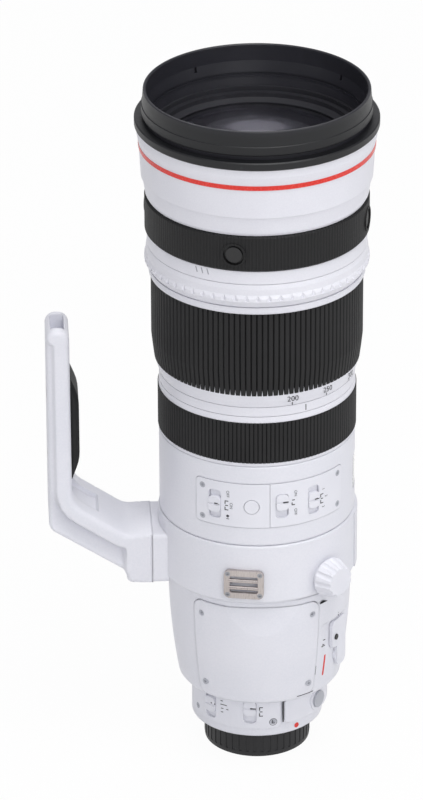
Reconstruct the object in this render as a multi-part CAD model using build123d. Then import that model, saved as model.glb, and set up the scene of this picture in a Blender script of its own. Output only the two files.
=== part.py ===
from build123d import *
import os
from math import atan2, cos, degrees, radians, sin, sqrt

# Large tele zoom lens standing on its rear cap, front up.
# Millimetres. The origin is the middle of the cap's flat bottom, +Z runs along the
# optical axis to the front, the tripod foot points along -X, the top of the lens
# along +X and the switches face -Y.

# General fits
running_gap = 0.1
seam_gap = 0.3
overrun = 2.0
pin_gap = 0.05

# Heights above the bottom of the rear cap
mount_face_height = 16.5
rear_edge_height = 17.2
housing_foot_height = 41.6
housing_top_height = 106.6
collar_low = 106.9
collar_high = 141.6
switch_barrel_low = 141.9
switch_barrel_high = 188.4
focus_low = 188.7
focus_rubber_low = 190.9
focus_rubber_high = 214.3
focus_high = 217.6
band_low = 217.9
band_high = 223.0
zoom_low = 223.3
zoom_rubber_low = 231.0
zoom_taper_high = 244.0
zoom_rubber_high = 279.1
zoom_high = 282.8
preset_low = 283.1
preset_high = 296.3
index_high = 303.8
stop_ring_low = 304.1
stop_ring_high = 323.8
front_barrel_low = 324.1
barrel_step_height = 335.0
red_ring_low = 351.2
red_ring_high = 353.6
flange_low = 362.7
flange_high = 367.1
lip_low = 369.3
lip_crease_height = 374.1
lip_high = 382.5
front_ledge_height = 359.8

# Radii of the outer shells, stepped down from the widest ring at the front
flange_radius = 63.75
flange_overhang = 1.25
red_ring_inset = 0.7
barrel_cone_drop = 1.3
barrel_foot_drop = 2.8
lip_inset = 3.75
lip_crease_depth = 0.7
lip_neck_depth = 1.4
lip_wall = 1.9
stop_ring_rise = 1.1
zoom_end_drop = 0.8
zoom_rubber_drop = 1.1
zoom_taper_drop = 1.9
zoom_tail_drop = 2.0
focus_rise = 0.4
focus_rubber_rise = 0.35
switch_barrel_drop = 0.15
collar_rise = 0.75
front_barrel_radius = flange_radius - flange_overhang
red_ring_radius = front_barrel_radius - red_ring_inset
barrel_step_radius = red_ring_radius - barrel_cone_drop
barrel_end_radius = barrel_step_radius - barrel_foot_drop
lip_foot_radius = flange_radius - lip_inset
lip_radius = lip_foot_radius - lip_crease_depth
lip_neck_radius = lip_foot_radius - lip_neck_depth
lip_bore_radius = lip_radius - lip_wall
stop_ring_radius = barrel_end_radius + stop_ring_rise
index_radius = barrel_end_radius
zoom_end_radius = index_radius - zoom_end_drop
zoom_rubber_radius = zoom_end_radius - zoom_rubber_drop
zoom_taper_radius = zoom_rubber_radius - zoom_taper_drop
zoom_tail_radius = zoom_taper_radius - zoom_tail_drop
band_radius = zoom_tail_radius
focus_radius = band_radius + focus_rise
focus_rubber_radius = focus_radius + focus_rubber_rise
switch_barrel_radius = focus_radius - switch_barrel_drop
collar_radius = switch_barrel_radius + collar_rise

# Interface to the camera
rear_barrel_radius = 35.4
throat_radius = 27.0
cap_radius = 28.7

# Inner chassis tube that every ring rides on
front_ring_wall = 2.7
front_tube_wall = 3.0
zoom_seat_drop = 4.6
focus_seat_drop = 0.8
collar_seat_drop = 2.1
rear_seat_drop = 3.5
zoom_tube_wall = 2.9
group_tube_wall = 3.1
front_seat_radius = barrel_end_radius - front_ring_wall
front_bore_radius = front_seat_radius - front_tube_wall
zoom_seat_radius = front_seat_radius - zoom_seat_drop
focus_seat_radius = zoom_seat_radius - focus_seat_drop
collar_seat_radius = focus_seat_radius - collar_seat_drop
rear_seat_radius = collar_seat_radius - rear_seat_drop
zoom_bore_radius = zoom_seat_radius - zoom_tube_wall
group_bore_radius = collar_seat_radius - group_tube_wall
rear_bore_radius = rear_seat_radius - front_tube_wall
tube_front_height = 350.0
tube_rear_height = 92.0
tube_step_height = 110.0
zoom_bore_low = 192.0
front_bore_low = 286.0
rubber_thickness = 1.9

# The extender housing is turned about an axis beside the optical axis
housing_shift_x = 1.2
housing_shift_y = -2.0
housing_wall = 2.4
housing_rim_wall = 5.0
housing_mid_drop = 1.8
housing_low_drop = 3.4
housing_end_drop = 7.3
housing_edge_drop = 1.2
housing_top_radius = rear_seat_radius + housing_rim_wall
housing_mid_height = 69.0
housing_mid_radius = housing_top_radius - housing_mid_drop
housing_low_height = 44.2
housing_low_radius = housing_mid_radius - housing_low_drop
housing_end_radius = housing_low_radius - housing_end_drop
housing_edge_height = 42.6
housing_edge_radius = housing_low_radius - housing_edge_drop

# Foot casting, drawn from the side with x away from the optical axis
foot_width = 41.0
foot_tip_width = 27.0
foot_taper_low = 150.0
foot_web_width = 22.0
foot_flange = 6.5
foot_stub_length = 3.9
foot_block_length = 14.0
foot_arm_length = 28.5
foot_upright_depth = 12.4
foot_seam_reach = collar_radius + foot_stub_length
foot_block_reach = foot_seam_reach + foot_block_length
foot_inner_reach = foot_block_reach + foot_arm_length
foot_sole_reach = foot_inner_reach + foot_upright_depth
foot_block_low = 104.6
foot_block_high = 133.4
foot_arm_start = 109.6
foot_corner_height = 136.0
foot_heel_height = 152.5
foot_tip_height = 251.5
pad_low = 163.0
pad_high = 222.0
pad_thickness = 4.6
pad_width = 24.0
large_thread_height = 210.3
small_thread_height = 174.0
large_thread_radius = 4.0
small_thread_radius = 2.6
bush_wall = 1.6
bush_depth = 8.0

# Angles about the optical axis, in degrees, counted from +X towards +Y
camera_side = -93.4
stop_button_angle = -105.2
strap_lug_angle = 100.8
knob_angle = -49.5
switch_panel_start = -131.2
switch_panel_seam = -85.9
switch_panel_end = -35.0
lever_angle = -31.8
scale_window_half_angle = 16.0
top_plate_half_angle = 16.4
quarter_turn = 90.0

# Pattern counts
zoom_rib_count = 120
focus_rib_count = 148
preset_serration_count = 62
cap_rib_count = 45
knob_flute_count = 12
stop_button_count = 4
iris_blade_count = 9


def turned(*corners):
    """Solid turned about the optical axis from (radius, height) corners."""
    outline = Plane.XZ * Polyline(*corners, close=True)
    return revolve(make_face(outline), Axis.Z)


def tube(bore, radius, low, high):
    """Plain tube about the optical axis."""
    return turned((bore, low), (radius, low), (radius, high), (bore, high))


def rod(radius, low, high):
    """Plain disc or rod about the optical axis."""
    return Pos(0, 0, low) * Cylinder(radius, high - low, align=(Align.CENTER, Align.CENTER, Align.MIN))


def sector(bore, radius, low, high, start, end, corner=0):
    """Piece of a tube between two angles, with rounded corners when seen from outside."""
    outline = Plane.XZ * Polyline((bore, low), (radius, low), (radius, high), (bore, high), close=True)
    piece = Rot(0, 0, start) * revolve(make_face(outline), Axis.Z, end - start)
    if corner:
        lines = piece.edges().filter_by(GeomType.LINE)
        piece = fillet([line for line in lines if abs(line.tangent_at(0).Z) < sin(radians(1))], corner)
    return piece


def facing(angle, height, reach):
    """Plane at an angle and height whose Z axis points away from the optical axis."""
    direction = (cos(radians(angle)), sin(radians(angle)), 0)
    origin = (reach * direction[0], reach * direction[1], height)
    return Plane(origin=origin, x_dir=(0, 0, 1), z_dir=direction)


def radial_rod(radius, inner, outer, angle, height):
    """Round rod that points away from the optical axis."""
    return facing(angle, height, inner) * Cylinder(
        radius, outer - inner, align=(Align.CENTER, Align.CENTER, Align.MIN))


def radial_block(across, tall, inner, outer, angle, height, corner=0):
    """Block that points away from the optical axis, with rounded corners seen from outside."""
    outline = RectangleRounded(tall, across, corner) if corner else Rectangle(tall, across)
    return facing(angle, height, inner) * extrude(outline, outer - inner)


def around(piece, count):
    """Evenly turned copies of a piece."""
    return [Rot(0, 0, 360 * number / count) * piece for number in range(count)]


def ribbed_section(count, radius, depth, height):
    """Ring outline with one flat-topped rib and one groove for every count."""
    pitch = 360 / count
    corners = []
    for number in range(count):
        for turn, reach in ((0, radius), (pitch * 2 / 3, radius), (pitch * 5 / 6, radius - depth)):
            angle = radians(number * pitch + turn)
            corners.append((reach * cos(angle), reach * sin(angle), height))
    return Wire.make_polygon([Vector(*corner) for corner in corners], close=True)


def ribbed_sleeve(count, depth, bore, levels):
    """Sleeve with lengthwise ribs through (radius, height) levels, bored through."""
    sections = [ribbed_section(count, radius, depth, height) for radius, height in levels]
    sleeve = Solid.make_loft(sections, ruled=True)
    low = levels[0][1]
    high = levels[-1][1]
    return Part() + sleeve - rod(bore, low - overrun, high + overrun)


def screw(radius, head_height, shank_radius, shank_length, plane):
    """Countersunk-style screw with a cross recess, head face at the plane."""
    head = Pos(0, 0, -head_height) * Cylinder(
        radius, head_height, align=(Align.CENTER, Align.CENTER, Align.MIN))
    shank = Pos(0, 0, -head_height - shank_length) * Cylinder(
        shank_radius, shank_length, align=(Align.CENTER, Align.CENTER, Align.MIN))
    slot = Box(radius, radius / 4, head_height)
    cross = slot + Rot(0, 0, quarter_turn) * slot
    return plane * (head + shank - cross)


def lens_disc(radius, low, high, crown):
    """Glass disc with a domed front and a flat back."""
    rise = sqrt(crown ** 2 - radius ** 2)
    dome = Pos(0, 0, high - crown) * Sphere(crown)
    blank = rod(radius, low, high)
    return blank & dome if rise < crown else blank


parts = {}


def keep(name, *pieces):
    """Stores the solids of one node."""
    solids = [solid for piece in pieces for solid in piece.solids()]
    parts[name] = solids[0] if len(solids) == 1 else Compound(children=solids)


# Front end
hood_spigot_radius = barrel_end_radius - running_gap
hood_bore_step = 2.0
hood_cone_step = 1.2
hood_bore_radius = lip_bore_radius - hood_bore_step
hood_spigot_low = tube_front_height
hood_cone_high = 373.2
hood_cone_low = 367.2
hood_thread_low = 364.1
hood_cone_radius = lip_bore_radius - hood_cone_step
hood_thread_depth = 0.5
rim_round = 0.6
notch_width = 1.6
notch_depth = 0.8
notch_height = 3.1
notch_angles = (36.3, 121.1, 216.3, 301.1)
groove_depth = 0.8


def hood_mount_ring():
    rings = turned(
        (hood_bore_radius, hood_spigot_low), (hood_spigot_radius, hood_spigot_low),
        (hood_spigot_radius, flange_low), (flange_radius - rim_round, flange_low),
        (flange_radius, flange_low + rim_round), (flange_radius, flange_high - rim_round),
        (flange_radius - rim_round, flange_high), (lip_neck_radius, flange_high),
        (lip_neck_radius, lip_low), (lip_foot_radius - rim_round, lip_low),
        (lip_foot_radius, lip_low + rim_round), (lip_foot_radius, lip_crease_height),
        (lip_radius + rim_round / 2, lip_crease_height + rim_round / 2),
        (lip_radius - rim_round / 2, lip_high - rim_round), (lip_radius - rim_round, lip_high - rim_round / 4),
        (lip_radius - 2 * rim_round, lip_high), (lip_bore_radius + rim_round, lip_high),
        (lip_bore_radius, lip_high - rim_round), (lip_bore_radius, hood_cone_high),
        (hood_cone_radius, hood_cone_low), (hood_cone_radius + hood_thread_depth, hood_cone_low),
        (hood_cone_radius + hood_thread_depth, (hood_cone_low + hood_thread_low) / 2),
        (hood_cone_radius, (hood_cone_low + hood_thread_low) / 2), (hood_cone_radius, hood_thread_low),
        (hood_bore_radius, front_ledge_height))
    return rings - [radial_block(notch_width, notch_height, hood_cone_radius - overrun, lip_bore_radius + notch_depth,
                                 angle, hood_cone_high - notch_height / 2) for angle in notch_angles]


def front_barrel():
    return turned(
        (front_seat_radius, front_barrel_low), (barrel_end_radius, front_barrel_low),
        (barrel_end_radius + groove_depth, front_barrel_low + 2 * groove_depth),
        (barrel_step_radius - groove_depth, barrel_step_height - groove_depth / 2),
        (barrel_step_radius, barrel_step_height),
        (red_ring_radius - groove_depth / 2, red_ring_low), (red_ring_radius - groove_depth, red_ring_low),
        (red_ring_radius - groove_depth, red_ring_high), (red_ring_radius - groove_depth / 4, red_ring_high),
        (front_barrel_radius, (red_ring_high + flange_low) / 2), (front_barrel_radius, flange_low),
        (hood_spigot_radius, flange_low), (hood_spigot_radius, hood_spigot_low),
        (front_seat_radius, hood_spigot_low))


def red_ring():
    return tube(red_ring_radius - groove_depth, red_ring_radius, red_ring_low, red_ring_high)


# Front lens group
front_cell_wall = 4.4
cell_wall = 3.0
glass_radius = hood_bore_radius - front_cell_wall
glass_view_radius = glass_radius - cell_wall
front_glass_low = 347.0
front_glass_high = 358.0
front_glass_crown = 215.0
cell_low = 300.0
second_glass_low = 325.0
second_glass_high = 341.0
second_glass_step = 6.0
third_glass_step = 1.0
second_glass_radius = glass_radius - second_glass_step
second_glass_crown = 170.0
third_glass_low = 306.0
third_glass_high = 314.0
third_glass_radius = second_glass_radius - third_glass_step
third_glass_crown = 220.0
retainer_step = 0.5
retainer_low = 352.7
retainer_lip = 0.8
retainer_lip_height = 353.6
retainer_lower_height = 355.0
retainer_upper_height = 357.4


def front_lens_cell():
    body = turned(
        (third_glass_radius, cell_low), (front_bore_radius, cell_low),
        (front_bore_radius, tube_front_height), (hood_bore_radius, tube_front_height),
        (hood_bore_radius, retainer_low), (glass_radius, retainer_low),
        (glass_radius, front_glass_low), (glass_radius - cell_wall, front_glass_low),
        (glass_radius - cell_wall, second_glass_high), (second_glass_radius, second_glass_high),
        (second_glass_radius, second_glass_low), (second_glass_radius - cell_wall, second_glass_low),
        (second_glass_radius - cell_wall, third_glass_high), (third_glass_radius, third_glass_high))
    return body


def front_retaining_ring():
    """Threaded ring with blackened steps down to the front glass."""
    lower = glass_view_radius + cell_wall
    upper = lower + cell_wall
    return turned(
        (glass_view_radius, retainer_low), (hood_bore_radius, retainer_low), (hood_bore_radius, front_ledge_height),
        (upper, front_ledge_height), (upper, retainer_upper_height), (lower, retainer_upper_height),
        (lower, retainer_lower_height), (glass_view_radius + retainer_lip, retainer_lip_height),
        (glass_view_radius, retainer_low + retainer_step))


# Focus-stop ring, preset ring and zoom ring
stop_ring_bevel = 0.9
stop_rim_radius = 6.7
stop_button_radius = 4.3
stop_button_depth = 2.7
stop_button_sink = 0.4
stop_button_base = 1.0
stop_well_radius = 5.5
stop_button_height = 313.2
stop_button_travel = 0.6
stop_rim_height = 0.35
serration_depth = 0.9
serration_width = 2.6
zoom_rib_depth = 0.8
focus_rib_depth = 0.5
preset_lip_rise = 1.35
preset_foot_drop = 2.65
preset_shoulder_drop = 0.9
preset_top_drop = 1.45
preset_flare_high = 287.0
preset_lip_high = 288.8
preset_shoulder_height = 290.5
serration_low = 287.5
serration_high = 293.7


def focus_stop_ring():
    low, high = stop_ring_low, stop_ring_high
    ring = turned(
        (front_seat_radius, low), (stop_ring_radius - stop_ring_bevel, low),
        (stop_ring_radius, low + stop_ring_bevel), (stop_ring_radius, high - stop_ring_bevel),
        (stop_ring_radius - stop_ring_bevel, high), (front_seat_radius, high))
    rim = radial_rod(stop_rim_radius, front_seat_radius + cell_wall, stop_ring_radius + stop_rim_height,
                     stop_button_angle, stop_button_height)
    well = radial_rod(stop_well_radius, stop_ring_radius - stop_button_depth - stop_button_travel,
                      stop_ring_radius + overrun, stop_button_angle, stop_button_height)
    return ring + around(rim, stop_button_count) - around(well, stop_button_count)


def focus_stop_button(number):
    """Round rubber button on a wider base that fills its well."""
    angle = stop_button_angle + number * quarter_turn
    seat = stop_ring_radius - stop_button_depth
    base = radial_rod(stop_well_radius - running_gap, seat, seat + stop_button_base, angle, stop_button_height)
    return base + radial_rod(stop_button_radius, seat, stop_ring_radius - stop_button_sink, angle, stop_button_height)


def preset_ring():
    """Ring with a wide lip under a band of shallow rounded teeth."""
    bore = front_seat_radius + running_gap
    lip = index_radius + preset_lip_rise
    ring = turned(
        (bore, preset_low), (lip - preset_foot_drop, preset_low), (lip, preset_flare_high), (lip, preset_lip_high),
        (lip - preset_shoulder_drop, preset_shoulder_height), (lip - preset_shoulder_drop, serration_high),
        (lip - preset_top_drop, preset_high), (bore, preset_high))
    tooth = extrude(Polygon((serration_depth, 0), (-serration_depth, serration_width),
                            (-serration_depth, -serration_width), align=None), serration_high - serration_low)
    notch = Pos(lip, 0, serration_low) * (Rot(0, 0, 2 * quarter_turn) * tooth)
    return ring - around(notch, preset_serration_count)


def zoom_ring():
    seat = zoom_rubber_radius - rubber_thickness
    taper_seat = zoom_taper_radius - rubber_thickness / 2
    return turned(
        (zoom_seat_radius + running_gap, zoom_low), (zoom_tail_radius, zoom_low),
        ((zoom_tail_radius + zoom_taper_radius) / 2 + groove_depth / 4, (zoom_low + zoom_rubber_low) / 2),
        (zoom_taper_radius, zoom_rubber_low), (taper_seat, zoom_rubber_low), (seat, zoom_rubber_low),
        (seat, zoom_rubber_high), (zoom_end_radius - groove_depth / 2, zoom_rubber_high),
        (zoom_end_radius, zoom_rubber_high + groove_depth), (zoom_end_radius, zoom_high),
        (zoom_seat_radius + running_gap, zoom_high))


def zoom_ring_rubber():
    seat = zoom_rubber_radius - rubber_thickness
    levels = [
        (zoom_taper_radius + zoom_rib_depth / 2, zoom_rubber_low),
        ((zoom_taper_radius + zoom_rubber_radius) / 2 + zoom_rib_depth / 3, (zoom_rubber_low + zoom_taper_high) / 2),
        (zoom_rubber_radius, zoom_taper_high), (zoom_rubber_radius, zoom_rubber_high)]
    return ribbed_sleeve(zoom_rib_count, zoom_rib_depth, seat, levels)


def focus_ring():
    seat = focus_rubber_radius - rubber_thickness
    return turned(
        (focus_seat_radius + running_gap, focus_low), (focus_radius - groove_depth / 2, focus_low),
        (focus_radius, focus_low + groove_depth), (focus_radius, focus_rubber_low), (seat, focus_rubber_low),
        (seat, focus_rubber_high), (focus_radius, focus_rubber_high), (focus_radius - groove_depth / 2, focus_high),
        (focus_seat_radius + running_gap, focus_high))


def focus_ring_rubber():
    levels = [(focus_rubber_radius, focus_rubber_low), (focus_rubber_radius, focus_rubber_high)]
    return ribbed_sleeve(focus_rib_count, focus_rib_depth, focus_rubber_radius - rubber_thickness, levels)


# Chassis tube
def main_tube():
    return turned(
        (rear_bore_radius, tube_rear_height), (rear_seat_radius, tube_rear_height),
        (rear_seat_radius, housing_top_height), (collar_seat_radius, housing_top_height),
        (collar_seat_radius, focus_low - seam_gap), (focus_seat_radius, focus_low - seam_gap),
        (focus_seat_radius, band_low), (zoom_seat_radius, band_low),
        (zoom_seat_radius, zoom_high), (front_seat_radius, zoom_high),
        (front_seat_radius, tube_front_height), (front_bore_radius, tube_front_height),
        (front_bore_radius, front_bore_low), (zoom_bore_radius, front_bore_low),
        (zoom_bore_radius, zoom_bore_low), (group_bore_radius, zoom_bore_low),
        (group_bore_radius, tube_step_height), (rear_bore_radius, tube_step_height))


# Inner optical groups
zoom_group_low = 205.0
zoom_group_length = 24.0
zoom_cell_wall = 11.5
zoom_lens_radius = zoom_bore_radius - zoom_cell_wall
zoom_lens_thickness = 12.0
zoom_lens_crown = 90.0
focus_group_low = 150.0
focus_group_length = 14.0
focus_cell_wall = 18.4
focus_lens_radius = group_bore_radius - focus_cell_wall
focus_lens_thickness = 7.0
focus_lens_crown = 60.0
stabiliser_low = 114.0
stabiliser_high = 132.0
stabiliser_play = 24.4
stabiliser_lens_radius = group_bore_radius - stabiliser_play
stabiliser_lens_crown = 55.0
iris_low = 178.0
iris_high = 188.0
iris_wall = 22.4
iris_opening_radius = group_bore_radius - iris_wall
iris_blade_thickness = 0.3
iris_blade_width = 9.0
iris_blade_pin_radius = 0.8
rear_glass_radius = 18.0
rear_glass_low = 96.0
rear_glass_high = 104.0
rear_glass_crown = 70.0


def lens_group(bore, low, length, lens_radius, thickness, crown):
    """Cell that slides in a bore, with its lens."""
    outer = bore - running_gap
    middle = low + length / 2
    seat_low = middle - thickness / 2
    seat_high = middle + thickness / 2
    cell = turned(
        (outer - cell_wall, low), (outer, low), (outer, low + length), (outer - cell_wall, low + length),
        (outer - cell_wall, seat_high), (lens_radius, seat_high), (lens_radius, seat_low),
        (outer - cell_wall, seat_low))
    glass = lens_disc(lens_radius, seat_low, seat_high, crown)
    return cell, glass


def iris_unit():
    """Iris housing ring with nine thin curved blades folded open in it."""
    ring = turned(
        (iris_opening_radius + iris_blade_width, iris_low), (group_bore_radius, iris_low),
        (group_bore_radius, iris_high), (iris_opening_radius + iris_blade_width, iris_high))
    blades = []
    for number in range(iris_blade_count):
        height = iris_low + (number + 1) * (iris_high - iris_low) / (iris_blade_count + 1)
        start = 360 * number / iris_blade_count
        blades.append(sector(iris_opening_radius, iris_opening_radius + iris_blade_width,
                             height, height + iris_blade_thickness, start, start + quarter_turn))
    return [ring] + blades


def stabiliser_unit():
    """Fixed ring with the carrier of the shifting lens held by three arms."""
    lens_seat = stabiliser_lens_radius + cell_wall
    frame = tube(group_bore_radius - cell_wall, group_bore_radius, stabiliser_low, stabiliser_high)
    carrier = tube(stabiliser_lens_radius, lens_seat, stabiliser_low, stabiliser_high)
    arm = Pos(lens_seat - cell_wall / 3, 0, stabiliser_low) * Box(
        group_bore_radius - cell_wall - lens_seat + cell_wall * 2 / 3, cell_wall, stabiliser_high - stabiliser_low,
        align=(Align.MIN, Align.CENTER, Align.MIN))
    return frame + carrier + around(arm, 3)


# Switch barrel with its panels, switches and the distance window
panel_low = 152.6
panel_high = 178.5
panel_depth = 1.2
panel_rise = 0.3
panel_corner = 2.6
panel_gap = 0.25
panel_seam_turn = 0.1
window_low = 154.4
window_high = 174.6
window_thickness = 1.4
window_depth = 3.6
switch_height = 164.9
slot_tall = 16.6
slot_wide = 7.0
slot_corner = 2.2
short_slot_tall = 14.0
slider_tall = 9.0
short_slider_travel = 2.3
slider_travel = 3.6
slider_rise = 0.9
slot_depth = 1.6
set_button_radius = 3.9
set_button_angle = -96.5
set_button_height = 165.1
set_button_gap = 0.25
set_button_rise = 0.5
set_button_depth = 2.4
set_button_travel = 0.6
panel_screw_radius = 1.7
panel_screw_shank = 0.8
panel_screw_length = 1.4
panel_screw_head = 0.9
switch_angles = {"focus_preset_switch": -118.5, "stabiliser_switch": -78.7, "stabiliser_mode_switch": -58.7}
panel_screw_places = ((-126.6, 174.3), (-126.6, 156.2), (-39.4, 174.3), (-39.4, 156.2))
scale_drum_drop = 2.25
scale_drum_radius = switch_barrel_radius - scale_drum_drop
scale_drum_margin = 1.5
scale_drum_thickness = 1.0
scale_drum_end = 52.0
short_switches = ("stabiliser_switch", "focus_mode_switch")
scale_drum_turn = 35.0


def switch_slots(angles, height, face):
    """Openings that the switches slide in; the two-way switches have the short ones."""
    return [radial_block(slot_wide, short_slot_tall if name in short_switches else slot_tall, face - slot_depth,
                         face + overrun, angle, height, slot_corner) for name, angle in angles.items()]


def rest_height(name, height):
    """Height of a switch at rest: the two-way switches are slid up."""
    return height + short_slider_travel if name in short_switches else height


def slider(angle, height, reach):
    """Switch knob that stands out of its slot, with a cross groove for the fingertip."""
    block = radial_block(slot_wide - 2 * running_gap, slider_tall, reach - slot_depth + running_gap,
                         reach + slider_rise, angle, height, slot_corner)
    dish = facing(angle, height, reach + slider_rise) * (
        Rot(quarter_turn, 0, 0) * Cylinder(slider_rise * 2 / 3, 2 * slot_wide))
    return block - dish


def switch_barrel():
    outer = switch_barrel_radius
    shell = turned(
        (collar_seat_radius, switch_barrel_low), (outer - groove_depth / 2, switch_barrel_low),
        (outer, switch_barrel_low + groove_depth), (outer, switch_barrel_high - groove_depth),
        (outer - groove_depth / 2, switch_barrel_high), (collar_seat_radius, switch_barrel_high))
    recess = sector(outer - panel_depth, outer + overrun, panel_low, panel_high,
                    switch_panel_start, switch_panel_end, panel_corner)
    window = sector(outer - window_depth, outer + overrun, window_low, window_high,
                    -scale_window_half_angle, scale_window_half_angle, panel_corner)
    channel = sector(scale_drum_radius - scale_drum_thickness - running_gap, scale_drum_radius + running_gap,
                     window_low - panel_gap, window_high + panel_gap,
                     -scale_window_half_angle - scale_drum_turn - 2 * scale_drum_margin,
                     scale_drum_end + scale_drum_margin)
    shell = shell - recess - window - channel
    shell -= switch_slots(switch_angles, switch_height, outer + panel_rise)
    shell -= radial_rod(set_button_radius + set_button_gap, outer - set_button_depth, outer + overrun,
                        set_button_angle, set_button_height)
    return shell - screw_holes(panel_screw_places, outer + panel_rise, panel_screw_head,
                               panel_screw_shank, panel_screw_length)


def screw_holes(places, reach, head, shank, length):
    """Holes for the shanks of a set of screws."""
    return [radial_rod(shank, reach - head - length, reach, angle, height) for angle, height in places]


def panel_screws(places, reach, length):
    return [screw(panel_screw_radius, panel_screw_head, panel_screw_shank, length,
                  facing(angle, height, reach)) for angle, height in places]


def switch_panel(start, end):
    """Part of the long cover plate, its outer corners rounded and square at the middle seam."""
    reach = switch_barrel_radius + panel_rise
    floor = switch_barrel_radius - panel_depth
    gap_turn = degrees(panel_gap / reach)
    whole = sector(floor, reach, panel_low + panel_gap, panel_high - panel_gap,
                   switch_panel_start + gap_turn, switch_panel_end - gap_turn, panel_corner - panel_gap)
    plate = whole & sector(floor - overrun, reach + overrun, panel_low, panel_high, start, end)
    plate -= switch_slots(switch_angles, switch_height, reach)
    plate -= radial_rod(set_button_radius + set_button_gap, floor - overrun, reach + overrun, set_button_angle,
                        set_button_height)
    plate -= [radial_rod(panel_screw_radius, reach - panel_screw_head, reach + overrun, angle, height)
              for angle, height in panel_screw_places]
    return plate - screw_holes(panel_screw_places, reach, panel_screw_head, panel_screw_shank, panel_screw_length)


def distance_scale_drum():
    inner = scale_drum_radius - scale_drum_thickness
    return sector(inner, scale_drum_radius, window_low + panel_gap, window_high - panel_gap,
                  -scale_window_half_angle - scale_drum_margin, scale_drum_end)


def preset_set_button():
    return radial_rod(set_button_radius, switch_barrel_radius - set_button_depth + set_button_travel + running_gap,
                      switch_barrel_radius + set_button_rise, set_button_angle, set_button_height)


def distance_window():
    outer = switch_barrel_radius
    return sector(outer - window_thickness, outer - panel_gap, window_low, window_high,
                  -scale_window_half_angle, scale_window_half_angle, panel_corner)


# Tripod collar, its knob and strap lugs
top_plate_rise = 0.8
knob_seat_radius = 8.6
knob_base_radius = 11.2
knob_face_radius = 8.2
knob_seat_rise = 1.4
knob_tall = 9.4
knob_round = 1.0
knob_shaft_radius = 3.0
knob_shaft_play = 1.5
knob_height = 117.2
flute_radius = 1.9
flute_depth = 0.8
lug_tall = 16.4
lug_wide = 21.2
lug_height = 119.8
lug_base = collar_radius
lug_thickness = 1.9
lug_face = lug_base + lug_thickness
lug_corner = 3.0
lug_window_tall = 9.8
lug_window_wide = 15.0
lug_bar_radius = 1.1
lug_bar_places = (1.9, -2.3)
lug_pocket_depth = 3.6
lug_screw_radius = 1.4
lug_screw_head = 1.0
lug_screw_shank = 0.8
lug_screw_length = 2.6
lug_screw_out = 8.6
lug_screw_up = 6.1
stub_corner = 2.4
foot_screw_radius = 1.75
foot_screw_head_radius = 3.0
foot_screw_head = 3.2
foot_screw_length = 19.0
foot_screw_out = 15.6
foot_screw_low = 112.0
foot_screw_high = 120.5


def lug_screw_places(angle):
    """Planes on the face of a strap lug where its corner screws sit."""
    plane = facing(angle, lug_height, lug_face)
    return [plane * Pos(up * lug_screw_up, out * lug_screw_out, 0) for up in (-1, 1) for out in (-1, 1)]


def foot_screw_planes():
    """Planes of the four screws that hold the foot, pointing away from the lens."""
    planes = []
    for side in (-foot_screw_out, foot_screw_out):
        for height in (foot_screw_low, foot_screw_high):
            planes.append(Plane(origin=(-foot_block_reach, side, height), x_dir=(0, 0, 1), z_dir=(-1, 0, 0)))
    return planes


def foot_screw_holes(radius):
    depth = foot_screw_length
    return [plane * Pos(0, 0, -depth) * Cylinder(radius, depth + overrun, align=(
        Align.CENTER, Align.CENTER, Align.MIN)) for plane in foot_screw_planes()]


def tripod_collar():
    outer = collar_radius
    seat_face = outer + knob_seat_rise
    ring = turned(
        (collar_seat_radius + running_gap, collar_low), (outer - 2 * groove_depth, collar_low),
        (outer, collar_low + 2 * groove_depth), (outer, collar_high - groove_depth),
        (outer - groove_depth / 2, collar_high), (collar_seat_radius + running_gap, collar_high))
    plate = sector(outer - groove_depth, outer + top_plate_rise, collar_low + 2 * groove_depth,
                   collar_high - groove_depth, -top_plate_half_angle, top_plate_half_angle)
    stub_tall = foot_block_high - foot_block_low
    stub = Pos(-foot_seam_reach, 0, foot_block_low) * Box(
        foot_seam_reach - collar_seat_radius, foot_width, stub_tall, align=(Align.MIN, Align.CENTER, Align.MIN))
    stub = fillet(stub.edges().filter_by(Axis.X), stub_corner)
    stub = stub - rod(outer - groove_depth, foot_block_low - overrun, foot_block_high + overrun)
    seat = radial_rod(knob_seat_radius, outer - cell_wall, seat_face, knob_angle, knob_height)
    collar = ring + plate + stub + seat
    collar -= radial_rod(knob_shaft_radius + pin_gap, collar_seat_radius, seat_face + overrun,
                         knob_angle, knob_height)
    for angle in (-strap_lug_angle, strap_lug_angle):
        collar -= radial_block(lug_wide, lug_tall, lug_base, lug_face + overrun, angle, lug_height, lug_corner)
        collar -= radial_block(lug_window_wide, lug_window_tall, lug_base - lug_pocket_depth, lug_face,
                               angle, lug_height, lug_corner)
        collar -= [place * (Pos(0, 0, -lug_screw_head - lug_screw_length) * Cylinder(
            lug_screw_shank, lug_screw_length + lug_screw_head, align=(Align.CENTER, Align.CENTER, Align.MIN)))
            for place in lug_screw_places(angle)]
    return collar - foot_screw_holes(foot_screw_radius)


def strap_lug(angle):
    plate = radial_block(lug_wide, lug_tall, lug_base, lug_face, angle, lug_height, lug_corner)
    plate -= radial_block(lug_window_wide, lug_window_tall, lug_base - overrun, lug_face + overrun,
                          angle, lug_height, lug_corner / 3)
    for up in lug_bar_places:
        plate += facing(angle, lug_height + up, (lug_base + lug_face) / 2) * (
            Rot(quarter_turn, 0, 0) * Cylinder(lug_bar_radius, lug_window_wide + lug_bar_radius))
    holes = [place * (Pos(0, 0, -lug_screw_head) * Cylinder(
        lug_screw_radius, lug_screw_head, align=(Align.CENTER, Align.CENTER, Align.MIN)))
        for place in lug_screw_places(angle)]
    shanks = [place * Cylinder(lug_screw_shank, 2 * (lug_face - lug_base) + overrun)
              for place in lug_screw_places(angle)]
    return plate - holes - shanks


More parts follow.
